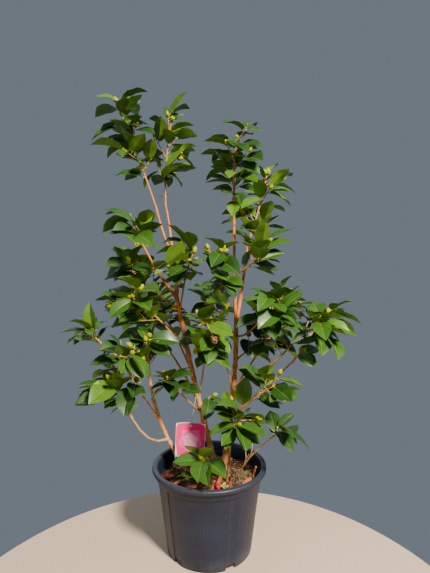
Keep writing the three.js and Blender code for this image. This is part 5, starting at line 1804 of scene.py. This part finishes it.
class CAMELLIA_OT_stage(Operator):
    """Lay the floor, hang the lights and stand the camera"""

    bl_idname = "camellia.stage"
    bl_label = "Stage"

    def execute(self, context):
        make_stage(context.scene.camellia_stage)
        return {"FINISHED"}


class CAMELLIA_OT_pot(Operator):
    """Turn the nursery pot"""

    bl_idname = "camellia.pot"
    bl_label = "Pot"

    def execute(self, context):
        make_pot(context.scene.camellia_pot)
        return {"FINISHED"}


class CAMELLIA_OT_soil(Operator):
    """Fill the pot with potting mix"""

    bl_idname = "camellia.soil"
    bl_label = "Potting mix"

    def execute(self, context):
        make_soil(context.scene.camellia_soil)
        return {"FINISHED"}


class CAMELLIA_OT_limbs(Operator):
    """Grow the trunks and boughs"""

    bl_idname = "camellia.limbs"
    bl_label = "Trunks and boughs"

    def execute(self, context):
        make_limbs(context.scene.camellia_bark)
        return {"FINISHED"}


class CAMELLIA_OT_shoots(Operator):
    """Grow the stems and twigs of every mass"""

    bl_idname = "camellia.shoots"
    bl_label = "Stems and twigs"

    def execute(self, context):
        make_shoots(context.scene.camellia_bark)
        return {"FINISHED"}


class CAMELLIA_OT_leaves(Operator):
    """Hang the leaves on their shoots"""

    bl_idname = "camellia.leaves"
    bl_label = "Leaves"

    def execute(self, context):
        make_leaves(context.scene.camellia_leaves)
        return {"FINISHED"}


class CAMELLIA_OT_buds(Operator):
    """Set the flower buds and leaf buds"""

    bl_idname = "camellia.buds"
    bl_label = "Buds"

    def execute(self, context):
        make_buds(context.scene.camellia_buds)
        return {"FINISHED"}


class CAMELLIA_OT_bloom(Operator):
    """Hang the withered flower and set the bare twigs"""

    bl_idname = "camellia.bloom"
    bl_label = "Withered flower"

    def execute(self, context):
        make_bloom(context.scene.camellia_bloom)
        return {"FINISHED"}


class CAMELLIA_OT_litter(Operator):
    """Scatter bark, moss and seedlings over the mix"""

    bl_idname = "camellia.litter"
    bl_label = "Litter"

    def execute(self, context):
        make_litter(context.scene.camellia_soil)
        return {"FINISHED"}


class CAMELLIA_OT_label(Operator):
    """Hang the care label by its loop"""

    bl_idname = "camellia.label"
    bl_label = "Care label"

    def execute(self, context):
        make_label(context.scene.camellia_label)
        make_tie(context.scene.camellia_label)
        return {"FINISHED"}


class CAMELLIA_PT_panel(Panel):
    """The plant's pieces and their settings"""

    bl_idname = "CAMELLIA_PT_panel"
    bl_label = "Potted camellia"
    bl_space_type = "VIEW_3D"
    bl_region_type = "UI"
    bl_category = "Camellia"

    def draw(self, context):
        column = self.layout.column()
        for operator in OPERATORS:
            column.operator(operator.bl_idname)
        for name, group in GROUPS.items():
            column.label(text=group.__doc__)
            for label in group.__annotations__:
                column.prop(getattr(context.scene, name), label)


GROUPS = {
    "camellia_stage": CamelliaStage, "camellia_pot": CamelliaPot, "camellia_soil": CamelliaSoil,
    "camellia_bark": CamelliaBark, "camellia_leaves": CamelliaLeaves, "camellia_buds": CamelliaBuds,
    "camellia_bloom": CamelliaBloom, "camellia_label": CamelliaLabel,
}
OPERATORS = (
    CAMELLIA_OT_stage, CAMELLIA_OT_pot, CAMELLIA_OT_soil, CAMELLIA_OT_limbs, CAMELLIA_OT_shoots,
    CAMELLIA_OT_leaves, CAMELLIA_OT_buds, CAMELLIA_OT_bloom, CAMELLIA_OT_litter, CAMELLIA_OT_label,
)


CLASSES = (*GROUPS.values(), *OPERATORS, CAMELLIA_PT_panel)


def register():
    for kind in CLASSES:
        bpy.utils.register_class(kind)
    for name, group in GROUPS.items():
        setattr(bpy.types.Scene, name, PointerProperty(type=group))


def unregister():
    for name in GROUPS:
        delattr(bpy.types.Scene, name)
    for kind in reversed(CLASSES):
        bpy.utils.unregister_class(kind)


def main():
    """Makes every piece in order."""
    register()
    bpy.ops.camellia.stage()
    bpy.ops.camellia.pot()
    bpy.ops.camellia.soil()
    bpy.ops.camellia.limbs()
    bpy.ops.camellia.shoots()
    bpy.ops.camellia.leaves()
    bpy.ops.camellia.buds()
    bpy.ops.camellia.bloom()
    bpy.ops.camellia.litter()
    bpy.ops.camellia.label()


if __name__ == "__main__":
    main()
